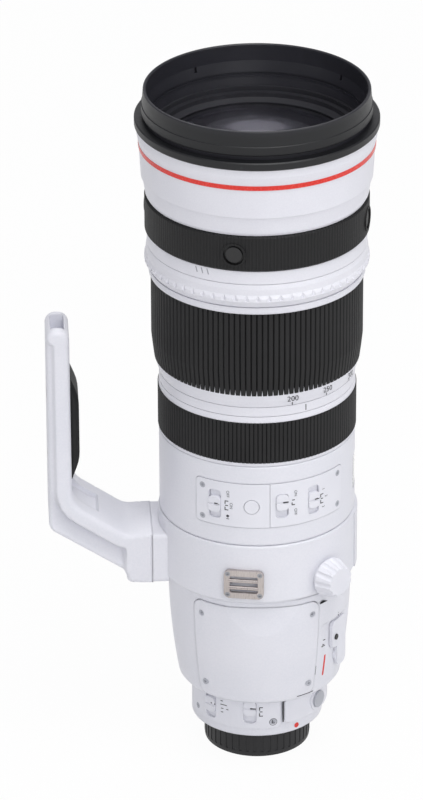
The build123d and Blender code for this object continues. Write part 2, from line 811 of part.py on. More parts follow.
def lug_screws(angle):
    return [screw(lug_screw_radius, lug_screw_head, lug_screw_shank, lug_screw_length, place)
            for place in lug_screw_places(angle)]


def collar_lock_knob():
    """Tapered knob with wide flutes on a shaft that clamps the collar."""
    low = collar_radius + knob_seat_rise + seam_gap
    cone = Cone(knob_base_radius, knob_face_radius, knob_tall, align=(Align.CENTER, Align.CENTER, Align.MIN))
    cone = fillet(cone.edges().filter_by(GeomType.CIRCLE), knob_round)
    lean = degrees(atan2(knob_base_radius - knob_face_radius, knob_tall))
    middle = (knob_base_radius + knob_face_radius) / 2 + flute_radius - flute_depth
    flute = Pos(middle, 0, knob_tall / 2) * (Rot(0, -lean, 0) * Cylinder(flute_radius, 2 * knob_tall))
    shaft = radial_rod(knob_shaft_radius, collar_seat_radius + knob_shaft_play, low + cell_wall, knob_angle, knob_height)
    return facing(knob_angle, knob_height, low) * (cone - around(flute, knob_flute_count)) + shaft


# Foot
def foot_outline():
    return [
        (-foot_seam_reach, foot_block_low), (-foot_seam_reach, foot_block_high),
        (-foot_block_reach, foot_block_high), (-foot_inner_reach, foot_heel_height),
        (-foot_inner_reach, foot_tip_height), (-foot_sole_reach, foot_tip_height),
        (-foot_sole_reach, foot_corner_height), (-foot_block_reach, foot_arm_start),
        (-foot_block_reach, foot_block_low)]


foot_corner_radii = (0.6, 0.6, 12.0, 14.0, 5.6, 5.6, 7.0, 3.0, 3.4)
foot_pocket_depth = 9.5
foot_sole_thickness = 2.6
foot_end_pocket_depth = 8.5
foot_end_pocket_width = 17.0


def foot():
    corners = foot_outline()
    path = FilletPolyline(*[(x, z) for x, z in corners], radius=list(foot_corner_radii), close=True)
    blank = extrude(make_face(Plane.XZ * path), foot_width / 2, both=True)
    rise = (foot_heel_height - foot_block_high) / (foot_inner_reach - foot_block_reach)
    web_side = foot_width / 2 - foot_pocket_depth
    drop = foot_flange * sqrt(1 + rise ** 2)
    pocket_outline = Polyline(
        (-foot_block_reach, foot_block_high - drop), (-foot_inner_reach + foot_flange / 2, foot_heel_height - drop),
        (-foot_sole_reach + foot_sole_thickness, foot_heel_height - drop + foot_flange),
        (-foot_sole_reach - overrun, foot_corner_height - foot_flange),
        (-foot_block_reach, foot_block_low - foot_flange), close=True)
    pocket = Pos(0, -web_side, 0) * extrude(make_face(Plane.XZ * pocket_outline), foot_width)
    far_pocket = mirror(pocket, Plane.XZ)
    end_pocket = Pos(-(foot_sole_reach + foot_inner_reach) / 2, 0, foot_tip_height - foot_end_pocket_depth) * Box(
        foot_sole_reach - foot_inner_reach - 2 * foot_sole_thickness, foot_end_pocket_width,
        foot_end_pocket_depth + overrun, align=(Align.CENTER, Align.CENTER, Align.MIN))
    side = Polyline((foot_width / 2, foot_taper_low), (foot_tip_width / 2, foot_tip_height),
                    (foot_tip_width / 2, foot_tip_height + overrun), (foot_width, foot_tip_height + overrun),
                    (foot_width, foot_taper_low), close=True)
    taper = Pos(-(foot_sole_reach + foot_inner_reach) / 2, 0, 0) * extrude(
        make_face(Plane.YZ * side), foot_sole_reach - foot_inner_reach, both=True)
    cuts = [pocket, far_pocket, end_pocket, taper, mirror(taper, Plane.XZ)]
    blank = blank - cuts
    for height, radius in ((large_thread_height, large_thread_radius), (small_thread_height, small_thread_radius)):
        blank -= sole_rod(radius + bush_wall, bush_depth, height)
    heads = [plane * Pos(0, 0, -foot_screw_head) * Cylinder(
        foot_screw_head_radius, foot_screw_head + overrun, align=(Align.CENTER, Align.CENTER, Align.MIN))
        for plane in foot_screw_planes()]
    return blank - foot_screw_holes(foot_screw_radius) - heads


def sole_rod(radius, depth, height):
    """Round rod that goes into the sole of the foot."""
    plane = Plane(origin=(-foot_sole_reach, 0, height), x_dir=(0, 1, 0), z_dir=(1, 0, 0))
    return plane * Cylinder(radius, depth, align=(Align.CENTER, Align.CENTER, Align.MIN))


def thread_bush(radius, height):
    return sole_rod(radius + bush_wall, bush_depth, height) - sole_rod(radius, bush_depth, height)


def foot_screw(plane):
    """Socket-head screw, head sunk in the foot, tip in the collar."""
    head = Pos(0, 0, -foot_screw_head) * Cylinder(
        foot_screw_head_radius, foot_screw_head, align=(Align.CENTER, Align.CENTER, Align.MIN))
    shank = Pos(0, 0, -foot_screw_length) * Cylinder(
        foot_screw_radius, foot_screw_length - foot_screw_head, align=(Align.CENTER, Align.CENTER, Align.MIN))
    socket = Pos(0, 0, -foot_screw_head / 2) * extrude(
        RegularPolygon(foot_screw_radius, 6), foot_screw_head)
    return plane * (head + shank - socket)


def foot_grip():
    tall = pad_high - pad_low
    outline = Polyline(
        (-foot_inner_reach, pad_low), (-foot_inner_reach, pad_high),
        (-foot_inner_reach + pad_thickness, pad_high - tall / 6),
        (-foot_inner_reach + pad_thickness, pad_low + tall / 6), close=True)
    pad = extrude(make_face(Plane.XZ * outline), pad_width / 2, both=True)
    long_edges = pad.edges().filter_by(Axis.Z).sort_by(Axis.X)[-2:]
    return fillet(long_edges, pad_thickness / 2)


# Rear housing with the extender
cover_start = -136.2
cover_end = -53.2
cover_low = 43.2
cover_high = 103.6
cover_thickness = 3.0
cover_rise = 0.5
cover_corner = 6.0
cover_gap = 0.35
scoop_radius = 88.0
scoop_low = 88.0
scoop_depth = 2.6
cover_screw_radius = 1.7
cover_screw_head = 1.0
cover_screw_shank = 0.9
cover_screw_length = 3.6
cover_screw_angles = (-129.7, -58.5)
cover_screw_heights = (95.6, 52.3)
pivot_reach = 30.0
pivot_angle = -135.0
pivot_pin_radius = 2.0
carrier_low = 62.0
carrier_high = 80.0
extender_lens_radius = 11.5
extender_cell_radius = 13.5
extender_lens_crown = 40.0
extender_swing = 60.0
pivot_boss_radius = 5.0
lever_tall = 29.0
lever_head_tall = 16.0
lever_head_wide = 15.4
lever_stem_wide = 9.6
lever_thickness = 1.8
lever_height = 69.0
lever_pivot_up = -8.0
lever_pivot_radius = 3.0
lever_corner = 3.6
lever_gap = 0.3
lever_facet_depth = 1.4
lever_facet_tall = 34.0
lever_facet_wide = 40.0
lock_button_out = 3.3
lock_button_radius = 1.6
lock_button_up = 4.5
lock_button_rise = 0.6


def housing_profile(inset, low, high):
    """Outline of the extender housing about its own axis, moved inwards by the inset."""
    curve = Spline((housing_low_radius - inset, max(low, housing_low_height)),
                   (housing_mid_radius - inset, housing_mid_height), (housing_top_radius - inset, high))
    underside = [(0, low)]
    if low < housing_low_height:
        underside += [(housing_end_radius - inset, low), (housing_edge_radius - inset, housing_edge_height)]
    rest = Polyline((housing_top_radius - inset, high), (0, high), *underside,
                    (housing_low_radius - inset, max(low, housing_low_height)))
    outline = Plane.XZ * Wire([curve] + rest.edges())
    return Pos(housing_shift_x, housing_shift_y, 0) * revolve(make_face(outline), Axis.Z)


def housing_reach(angle, height):
    """Distance from the optical axis to the housing's skin at an angle and height."""
    across = housing_top_radius - housing_mid_radius
    tall = housing_top_height - housing_mid_height
    if height > housing_mid_height:
        radius = housing_mid_radius + across * (height - housing_mid_height) / tall
    else:
        low_share = (housing_mid_height - height) / (housing_mid_height - housing_low_height)
        radius = housing_mid_radius - (housing_mid_radius - housing_low_radius) * low_share ** 2
    along = housing_shift_x * cos(radians(angle)) + housing_shift_y * sin(radians(angle))
    side = housing_shift_x ** 2 + housing_shift_y ** 2 - along ** 2
    return along + sqrt(radius ** 2 - side)


def cover_sector(shrink):
    """Wedge of space that the extender cover takes up."""
    turn = degrees(shrink / housing_top_radius)
    return sector(rear_barrel_radius - cell_wall, collar_radius + overrun, cover_low + shrink, cover_high - shrink,
                  cover_start + turn, cover_end - turn, cover_corner - shrink)


def scoop():
    """Tapered hollow over the middle of the cover, left outside a leaning cylinder."""
    behind_low = scoop_radius - housing_reach(camera_side, scoop_low) - cover_rise
    behind_high = scoop_radius - housing_reach(camera_side, housing_top_height) - cover_rise + scoop_depth
    lean = degrees(atan2(behind_high - behind_low, housing_top_height - scoop_low))
    core = Rot(0, 0, camera_side) * (Pos(-behind_low, 0, scoop_low) * (
        Rot(0, -lean, 0) * Cylinder(scoop_radius, 4 * scoop_radius)))
    return rod(collar_radius + overrun, scoop_low - overrun, housing_top_height + overrun) - core


def cover_screw_places():
    """Angles and heights of the four screws of the extender cover."""
    return [(angle, height) for angle in cover_screw_angles for height in cover_screw_heights]


def cover_screw_plane(angle, height):
    return facing(angle, height, housing_reach(angle, height) + cover_rise)


def cover_screw_holes(radius, depth):
    return [cover_screw_plane(angle, height) * (Pos(0, 0, -depth) * Cylinder(
        radius, depth + overrun, align=(Align.CENTER, Align.CENTER, Align.MIN)))
        for angle, height in cover_screw_places()]


def rear_housing():
    outer = housing_profile(0, housing_foot_height, housing_top_height)
    barrel = rod(rear_barrel_radius, rear_edge_height, housing_low_height)
    cavity = housing_profile(housing_wall + cover_thickness - cover_rise, housing_low_height, tube_rear_height)
    cavity = cavity & rod(collar_radius, frame_low, tube_rear_height)
    mouth = rod(rear_seat_radius, tube_rear_height - seam_gap, housing_top_height + overrun)
    bore = rod(rear_barrel_radius - barrel_wall, rear_edge_height - overrun, frame_low + overrun)
    recess = cover_sector(0) & (
        housing_profile(-overrun, housing_foot_height, housing_top_height)
        - housing_profile(cover_thickness - cover_rise, housing_foot_height, housing_top_height))
    body = outer + barrel - cavity - mouth - bore - recess - scoop() - rear_reliefs() - rear_switch_slots()
    body -= lever_plane(0) * (Pos(0, 0, -lever_gap) * extrude(Rectangle(lever_facet_tall, lever_facet_wide), flange_radius))
    body -= screw_holes(rear_screw_places, rear_panel_radius, panel_screw_head, panel_screw_shank,
                        rear_screw_length)
    body -= cover_screw_holes(cover_screw_radius, cover_screw_head)
    body -= cover_screw_holes(cover_screw_shank, cover_screw_head + cover_screw_length)
    return body - radial_rod(lever_pivot_radius + pin_gap, rear_barrel_radius, flange_radius, lever_angle,
                             lever_height + lever_pivot_up)


def extender_cover():
    plate = housing_profile(-cover_rise, housing_foot_height, housing_top_height) \
        - housing_profile(cover_thickness - cover_rise, housing_foot_height, housing_top_height)
    cover = (plate & cover_sector(cover_gap)) - scoop()
    cover -= cover_screw_holes(cover_screw_radius, cover_screw_head)
    return cover - cover_screw_holes(cover_screw_shank, cover_screw_head + cover_screw_length)


def cover_screws():
    return [screw(cover_screw_radius, cover_screw_head, cover_screw_shank, cover_screw_length,
                  cover_screw_plane(angle, height)) for angle, height in cover_screw_places()]


def pivot_place():
    angle = radians(pivot_angle)
    return (pivot_reach * cos(angle), pivot_reach * sin(angle))


# Extender mechanism inside the housing
frame_low = 47.5
frame_plate = 2.5
frame_high = 88.0
frame_play = 5.8
frame_radius = housing_low_radius - frame_play
frame_hole_radius = 18.0
post_radius = 2.5
post_inset = 3.5
post_reach = frame_radius - post_inset
post_angles = (0.0, 90.0, 180.0)
board_thickness = 1.6
board_hole_radius = 24.0
board_inset = 1.0
board_radius = frame_radius - board_inset


def extender_frame():
    """Two plates on three posts that carry the extender's pivot shaft."""
    shift = Pos(housing_shift_x, housing_shift_y, 0)
    frame = shift * rod(frame_radius, frame_low, frame_low + frame_plate)
    frame += shift * rod(frame_radius, frame_high - frame_plate, frame_high)
    frame -= rod(frame_hole_radius, frame_low - overrun, frame_high + overrun)
    for angle in post_angles:
        post = Rot(0, 0, angle) * (Pos(post_reach, 0, 0) * rod(post_radius, frame_low, frame_high))
        frame += post
    x, y = pivot_place()
    return frame - Pos(x, y, 0) * rod(pivot_pin_radius, frame_low - overrun, frame_high + overrun)


def extender_pivot_shaft():
    x, y = pivot_place()
    return Pos(x, y, 0) * rod(pivot_pin_radius, frame_low, frame_high)


def swung_out(piece):
    """The extender's pieces turned about the pivot from the optical axis to their rest place."""
    x, y = pivot_place()
    return Pos(x, y, 0) * (Rot(0, 0, -extender_swing) * (Pos(-x, -y, 0) * piece))


def extender_carrier():
    x, y = pivot_place()
    middle = (carrier_low + carrier_high) / 2
    cell = tube(extender_lens_radius, extender_cell_radius, carrier_low, carrier_high)
    boss = Pos(x, y, 0) * rod(pivot_boss_radius, carrier_low, carrier_high)
    arm = Rot(0, 0, pivot_angle) * (Pos(extender_cell_radius - cell_wall / 3, 0, middle) * Box(
        pivot_reach - extender_cell_radius, 2 * cell_wall, (carrier_high - carrier_low) / 2,
        align=(Align.MIN, Align.CENTER, Align.CENTER)))
    hole = Pos(x, y, 0) * rod(pivot_pin_radius + pin_gap, carrier_low - overrun, carrier_high + overrun)
    return swung_out(cell + boss + arm - hole)


def extender_lenses():
    """Front and rear glass of the swing-in extender."""
    third = (carrier_high - carrier_low) / 3
    front = lens_disc(extender_lens_radius, carrier_high - third, carrier_high - retainer_step, extender_lens_crown)
    rear = lens_disc(extender_lens_radius, carrier_low + retainer_step, carrier_low + third, extender_lens_crown)
    return [swung_out(front), swung_out(rear)]


def main_board():
    shift = Pos(housing_shift_x, housing_shift_y, 0)
    board = shift * rod(board_radius, frame_high, frame_high + board_thickness)
    return board - rod(board_hole_radius, frame_high - overrun, frame_high + overrun + board_thickness)


def lever_plane(up, out=0):
    """Plane over the flat on the housing where the extender lever lies."""
    reach = housing_reach(lever_angle, lever_height) - lever_facet_depth + lever_gap
    return facing(lever_angle, lever_height, reach) * Pos(up, out, 0)


def extender_lever():
    """Flat lever with a wide head and a narrow tail, on a shaft through the housing wall."""
    head = Pos((lever_tall - lever_head_tall) / 2, 0) * RectangleRounded(lever_head_tall, lever_head_wide, lever_corner)
    tail = Pos(0, (lever_stem_wide - lever_head_wide) / 2) * RectangleRounded(lever_tall, lever_stem_wide, lever_corner)
    bar = lever_plane(0) * extrude(head + tail, lever_thickness)
    shaft_length = housing_wall + cover_thickness + lever_gap
    shaft = lever_plane(lever_pivot_up) * (Pos(0, 0, -shaft_length) * Cylinder(
        lever_pivot_radius, shaft_length + lever_thickness / 2, align=(Align.CENTER, Align.CENTER, Align.MIN)))
    well = lever_plane(lock_button_up, lock_button_out) * (Pos(0, 0, lever_thickness / 3) * Cylinder(
        lock_button_radius + pin_gap, lever_thickness, align=(Align.CENTER, Align.CENTER, Align.MIN)))
    return bar + shaft - well


def lever_lock_button():
    low = lever_thickness / 3 + lock_button_rise
    return lever_plane(lock_button_up, lock_button_out) * (Pos(0, 0, low) * Cylinder(
        lock_button_radius, lever_thickness + lock_button_rise - low,
        align=(Align.CENTER, Align.CENTER, Align.MIN)))


# Rear end: switch panel, drop-in filter, bayonet and cap
chassis_low = 20.0
chassis_high = 42.0
chassis_bore = 27.0
barrel_wall = 2.4
rear_panel_low = 22.0
rear_panel_high = 41.2
rear_panel_start = -165.0
rear_panel_end = -72.7
rear_panel_bore = 35.0
rear_panel_radius = 36.3
rear_panel_corner = 2.4
rear_switch_height = 32.3
rear_switch_angles = {"distance_limit_switch": -136.9, "focus_mode_switch": -99.5}
rear_screw_places = ((-79.6, 26.0), (-155.0, 26.0))
rear_screw_length = 1.2
filter_turn = -35.5
filter_frame_wide = 40.0
filter_frame_tall = 7.0
filter_frame_inner = 23.0
filter_frame_height = 32.1
filter_glass_radius = 17.0
filter_glass_thickness = 2.0
filter_plate_low = 24.8
filter_plate_high = 39.4
filter_plate_half_angle = 34.5
filter_plate_bore = 35.5
filter_plate_radius = 38.2
release_radius = 4.7
release_boss_radius = 6.4
release_boss_face = 38.8
release_floor = 36.7
release_low = 37.4
release_face = 39.9
relief_high = 41.4
mount_flange_radius = 33.0
mount_flange_thickness = 3.5
mount_bore = 23.6
mount_tube_radius = 25.4
mount_tab_low = 11.0
mount_tab_high = 13.0
mount_tab_span = 50.0
mount_tab_count = 3
mount_screw_reach = 30.0
mount_screw_radius = 1.6
mount_screw_shank = 0.9
mount_screw_length = 6.0
mount_screw_head = 1.2
mount_screw_count = 4
contact_bore = 19.6
contact_low = 12.0
contact_high = 18.0
contact_start = 200.0
contact_span = 70.0
contact_pin_radius = 0.8
contact_pin_count = 8
rear_cell_high = 26.0
cap_top = 16.0
cap_floor = 2.0
cap_bore = 27.3
cap_rib_depth = 0.5
cap_rib_low = 3.1
cap_rib_high = 13.6
cap_tab_bore = 25.7
cap_tab_low = 13.3
cap_tab_high = 15.2
cap_round = 0.5


def rear_chassis():
    """Ring that fills the rear barrel round the drop-in filter slot."""
    ring = tube(chassis_bore, rear_barrel_radius - barrel_wall, chassis_low, chassis_high)
    ring -= filter_slot()
    return ring - mount_screw_holes()


def filter_slot():
    """Opening the filter holder slides through, open on the side of the holder."""
    slot = Box(filter_frame_inner + rear_barrel_radius + overrun, filter_frame_wide + 2 * running_gap,
               filter_frame_tall + 2 * running_gap, align=(Align.MIN, Align.CENTER, Align.CENTER))
    return Rot(0, 0, filter_turn) * (Pos(-filter_frame_inner - running_gap, 0, filter_frame_height) * slot)


def mount_screw_planes():
    """Planes of the bayonet's screws, pointing to the camera."""
    planes = []
    for number in range(mount_screw_count):
        angle = radians(45 + number * 360 / mount_screw_count)
        origin = (mount_screw_reach * cos(angle), mount_screw_reach * sin(angle), mount_face_height)
        planes.append(Plane(origin=origin, x_dir=(1, 0, 0), z_dir=(0, 0, -1)))
    return planes


def mount_screw_holes():
    depth = mount_screw_head + mount_screw_length
    return [plane * (Pos(0, 0, -depth) * Cylinder(
        mount_screw_shank, depth, align=(Align.CENTER, Align.CENTER, Align.MIN)))
        for plane in mount_screw_planes()]


def bayonet_mount():
    """Steel bayonet with its three tabs, screwed to the chassis."""
    flange = tube(mount_bore, mount_flange_radius, mount_face_height, mount_face_height + mount_flange_thickness)
    neck = tube(mount_bore, mount_tube_radius, mount_tab_low, mount_face_height + mount_flange_thickness)
    tab = sector(mount_tube_radius - running_gap, throat_radius, mount_tab_low, mount_tab_high, 0, mount_tab_span)
    heads = [plane * (Pos(0, 0, -mount_screw_head) * Cylinder(
        mount_screw_radius, mount_screw_head, align=(Align.CENTER, Align.CENTER, Align.MIN)))
        for plane in mount_screw_planes()]
    return flange + neck + around(tab, mount_tab_count) - heads - mount_screw_holes()


def contact_block():
    """Arc of moulded plastic inside the bayonet."""
    return sector(contact_bore, mount_bore, contact_low, contact_high, contact_start, contact_start + contact_span)


def contact_pins():
    """Row of contact pins that stand out of the block towards the camera."""
    reach = (contact_bore + mount_bore) / 2
    pins = []
    for number in range(contact_pin_count):
        turn = contact_start + contact_span * (number + 1) / (contact_pin_count + 1)
        pin = Pos(reach, 0, 0) * rod(contact_pin_radius, contact_low - contact_pin_radius, contact_low)
        pins.append(Rot(0, 0, turn) * pin)
    return pins


def rear_lens_cell():
    return tube(rear_glass_radius, chassis_bore, chassis_low, rear_cell_high)


def rear_cap():
    """Ribbed cap with three inner tabs that hook behind the bayonet's tabs."""
    cup = turned(
        (0, 0), (cap_radius - 2 * cap_round, 0), (cap_radius - cap_round / 2, cap_round),
        (cap_radius, cap_rib_low - cap_round), (cap_radius, cap_top), (cap_bore, cap_top),
        (cap_bore, cap_floor), (0, cap_floor))
    tab = sector(cap_tab_bore, cap_bore + running_gap, cap_tab_low, cap_tab_high, 0, mount_tab_span)
    groove = Pos(cap_radius + cap_rib_depth, 0, cap_rib_low) * Box(
        3 * cap_rib_depth, 3 * cap_rib_depth, cap_rib_high - cap_rib_low, align=(Align.CENTER, Align.CENTER, Align.MIN))
    return cup + around(tab, mount_tab_count) - around(groove, cap_rib_count)


def rear_switch_slots():
    return switch_slots(rear_switch_angles, rear_switch_height, rear_panel_radius)


def rear_switch_panel():
    plate = sector(rear_panel_bore, rear_panel_radius, rear_panel_low, rear_panel_high,
                   rear_panel_start, rear_panel_end, rear_panel_corner)
    heads = [radial_rod(panel_screw_radius, rear_panel_radius - panel_screw_head, rear_panel_radius + overrun,
                        angle, height) for angle, height in rear_screw_places]
    holes = screw_holes(rear_screw_places, rear_panel_radius, panel_screw_head, panel_screw_shank,
                        rear_screw_length)
    return plate - rear_switch_slots() - heads - holes


def filter_holder():
    """Drawer with a round filter seat and a curved outer plate."""
    length = filter_frame_inner + filter_plate_bore
    frame = Pos(-filter_frame_inner, 0, filter_frame_height) * Box(
        length + overrun, filter_frame_wide, filter_frame_tall, align=(Align.MIN, Align.CENTER, Align.CENTER))
    frame = Rot(0, 0, filter_turn) * frame
    frame = frame & rod(filter_plate_bore + running_gap, filter_plate_low, filter_plate_high)
    frame -= rod(filter_glass_radius, filter_plate_low, filter_plate_high)
    plate = sector(filter_plate_bore, filter_plate_radius, filter_plate_low, filter_plate_high,
                   filter_turn - filter_plate_half_angle, filter_turn + filter_plate_half_angle,
                   rear_panel_corner)
    boss = radial_rod(release_boss_radius, filter_plate_bore, release_boss_face, filter_turn, filter_frame_height)
    well = radial_rod(release_radius + running_gap, release_floor, release_face + overrun, filter_turn,
                      filter_frame_height)
    return frame + plate + boss - well


def filter_glass():
    low = filter_frame_height - filter_glass_thickness / 2
    return rod(filter_glass_radius, low, low + filter_glass_thickness)


def filter_release_button():
    return radial_rod(release_radius, release_low, release_face, filter_turn, filter_frame_height)


def rear_reliefs():
    """Spaces cut in the housing's shoulder for the rear panel and the filter plate."""
    panel_seat = sector(rear_panel_bore, collar_radius + overrun, rear_panel_low, relief_high,
                        rear_panel_start, rear_panel_end, rear_panel_corner)
    panel_way = sector(rear_panel_radius, collar_radius + overrun, rear_panel_low - panel_gap,
                       relief_high, rear_panel_start, rear_panel_end)
    plate_seat = sector(rear_barrel_radius, collar_radius + overrun, filter_plate_low - seam_gap,
                        filter_plate_high + seam_gap, filter_turn - filter_plate_half_angle - 1,
                        filter_turn + filter_plate_half_angle + 1)
    return [panel_seat, panel_way, plate_seat, filter_slot()]


keep("hood_mount_ring", hood_mount_ring())
keep("front_barrel", front_barrel())
keep("red_ring", red_ring())
keep("front_lens_cell", front_lens_cell())
keep("front_glass", lens_disc(glass_radius, front_glass_low, front_glass_high, front_glass_crown))
keep("front_group_glasses",
     lens_disc(second_glass_radius, second_glass_low, second_glass_high, second_glass_crown),
     lens_disc(third_glass_radius, third_glass_low, third_glass_high, third_glass_crown))
keep("front_retaining_ring", front_retaining_ring())
keep("focus_stop_ring", focus_stop_ring())
for button_number in range(stop_button_count):
    keep(f"focus_stop_button_{button_number + 1}", focus_stop_button(button_number))
keep("index_rings", tube(front_seat_radius, index_radius, preset_high + seam_gap, index_high),
     tube(zoom_seat_radius, band_radius, band_low, band_high))
keep("preset_ring", preset_ring())
keep("zoom_ring", zoom_ring())
keep("zoom_ring_rubber", zoom_ring_rubber())
keep("focus_ring", focus_ring())
keep("focus_ring_rubber", focus_ring_rubber())
keep("main_tube", main_tube())
keep("switch_barrel", switch_barrel())
keep("tripod_collar", tripod_collar())
keep("collar_lock_knob", collar_lock_knob())
keep("foot", foot())
keep("foot_grip", foot_grip())
keep("foot_screws", *[foot_screw(plane) for plane in foot_screw_planes()])
keep("foot_bushes", thread_bush(large_thread_radius, large_thread_height),
     thread_bush(small_thread_radius, small_thread_height))
keep("rear_housing", rear_housing())
keep("extender_cover", extender_cover())
keep("cover_screws", *cover_screws())
keep("panel_screws", *panel_screws(panel_screw_places, switch_barrel_radius + panel_rise, panel_screw_length),
     *panel_screws(rear_screw_places, rear_panel_radius, rear_screw_length))
keep("focus_switch_panel", switch_panel(switch_panel_start, switch_panel_seam - panel_seam_turn))
keep("stabiliser_switch_panel", switch_panel(switch_panel_seam + panel_seam_turn, switch_panel_end))
for switch_name, switch_angle in switch_angles.items():
    keep(switch_name, slider(switch_angle, rest_height(switch_name, switch_height),
                             switch_barrel_radius + panel_rise))
keep("preset_set_button", preset_set_button())
keep("distance_window", distance_window())
keep("distance_scale_drum", distance_scale_drum())
keep("strap_lugs", strap_lug(-strap_lug_angle), strap_lug(strap_lug_angle))
keep("lug_screws", *lug_screws(-strap_lug_angle), *lug_screws(strap_lug_angle))
zoom_cell, zoom_glass = lens_group(zoom_bore_radius, zoom_group_low, zoom_group_length, zoom_lens_radius,
                                   zoom_lens_thickness, zoom_lens_crown)
keep("zoom_lens_group", zoom_cell, zoom_glass)
focus_cell, focus_glass = lens_group(group_bore_radius, focus_group_low, focus_group_length, focus_lens_radius,
                                     focus_lens_thickness, focus_lens_crown)
keep("focus_lens_group", focus_cell, focus_glass)
keep("stabiliser_unit", stabiliser_unit(), lens_disc(stabiliser_lens_radius, stabiliser_low, stabiliser_high,
                                                    stabiliser_lens_crown))
keep("iris_unit", *iris_unit())
keep("relay_group", tube(rear_glass_radius, rear_bore_radius, rear_glass_low, rear_glass_high),
     lens_disc(rear_glass_radius, rear_glass_low, rear_glass_high, rear_glass_crown))
keep("extender_frame", extender_frame(), extender_pivot_shaft())
keep("extender_carrier", extender_carrier(), *extender_lenses())
keep("main_board", main_board())
keep("extender_lever", extender_lever())
keep("lever_lock_button", lever_lock_button())
keep("rear_chassis", rear_chassis(), rear_lens_cell(),
     lens_disc(rear_glass_radius, chassis_low + retainer_step, rear_cell_high, rear_glass_crown))
keep("rear_switch_panel", rear_switch_panel())
for switch_name, switch_angle in rear_switch_angles.items():
    keep(switch_name, slider(switch_angle, rest_height(switch_name, rear_switch_height), rear_panel_radius))
keep("filter_holder", filter_holder(), filter_glass())
keep("filter_release_button", filter_release_button())
keep("bayonet_mount", bayonet_mount())
keep("mount_screws", *[screw(mount_screw_radius, mount_screw_head, mount_screw_shank, mount_screw_length, plane)
                       for plane in mount_screw_planes()])
keep("contact_block", contact_block(), *contact_pins())
keep("rear_cap", rear_cap())

os.makedirs("parts", exist_ok=True)
for name, shape in parts.items():
    export_step(shape, f"parts/{name}.step")
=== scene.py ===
import math
import bmesh
import bpy
from mathutils import Matrix, Vector
from mathutils.geometry import delaunay_2d_cdt


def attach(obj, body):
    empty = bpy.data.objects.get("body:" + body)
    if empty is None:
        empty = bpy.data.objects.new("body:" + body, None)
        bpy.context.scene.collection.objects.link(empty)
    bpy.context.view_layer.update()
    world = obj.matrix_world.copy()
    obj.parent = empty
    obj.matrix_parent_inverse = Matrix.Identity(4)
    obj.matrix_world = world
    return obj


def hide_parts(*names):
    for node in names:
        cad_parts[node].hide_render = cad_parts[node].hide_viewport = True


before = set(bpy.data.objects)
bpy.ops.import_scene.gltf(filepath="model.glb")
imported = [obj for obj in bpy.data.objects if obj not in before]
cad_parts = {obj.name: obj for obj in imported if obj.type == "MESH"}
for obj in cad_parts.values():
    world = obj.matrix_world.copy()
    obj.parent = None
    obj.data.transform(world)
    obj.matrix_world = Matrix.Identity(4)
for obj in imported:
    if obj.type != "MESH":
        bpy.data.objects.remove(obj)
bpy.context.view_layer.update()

# Large tele zoom lens standing on its rear cap. The optical axis is Z with the front up,
# the foot points along -X, the top of the lens along +X and the switches face -Y.
# Lengths are in millimetres and angles in degrees from +X towards +Y, unless a comment
# says otherwise.
MM = 0.001


# Colours and nodes

def linear(hex_colour):
    """sRGB hex colour as linear RGBA."""
    channels = []
    for start in (1, 3, 5):
        value = int(hex_colour[start:start + 2], 16) / 255
        channels.append(value / 12.92 if value <= 0.04045 else ((value + 0.055) / 1.055) ** 2.4)
    return (*channels, 1.0)


def add_node(tree, kind, inputs=None, **settings):
    """Adds a node with its settings, and sets or links its inputs."""
    made = tree.nodes.new(kind)
    for name, value in settings.items():
        setattr(made, name, value)
    for name, value in (inputs or {}).items():
        if isinstance(value, bpy.types.NodeSocket):
            tree.links.new(value, made.inputs[name])
        else:
            made.inputs[name].default_value = value
    return made


# Distance over which a sprayed, moulded or handled surface slowly changes its tone
TONE_DRIFT = 38


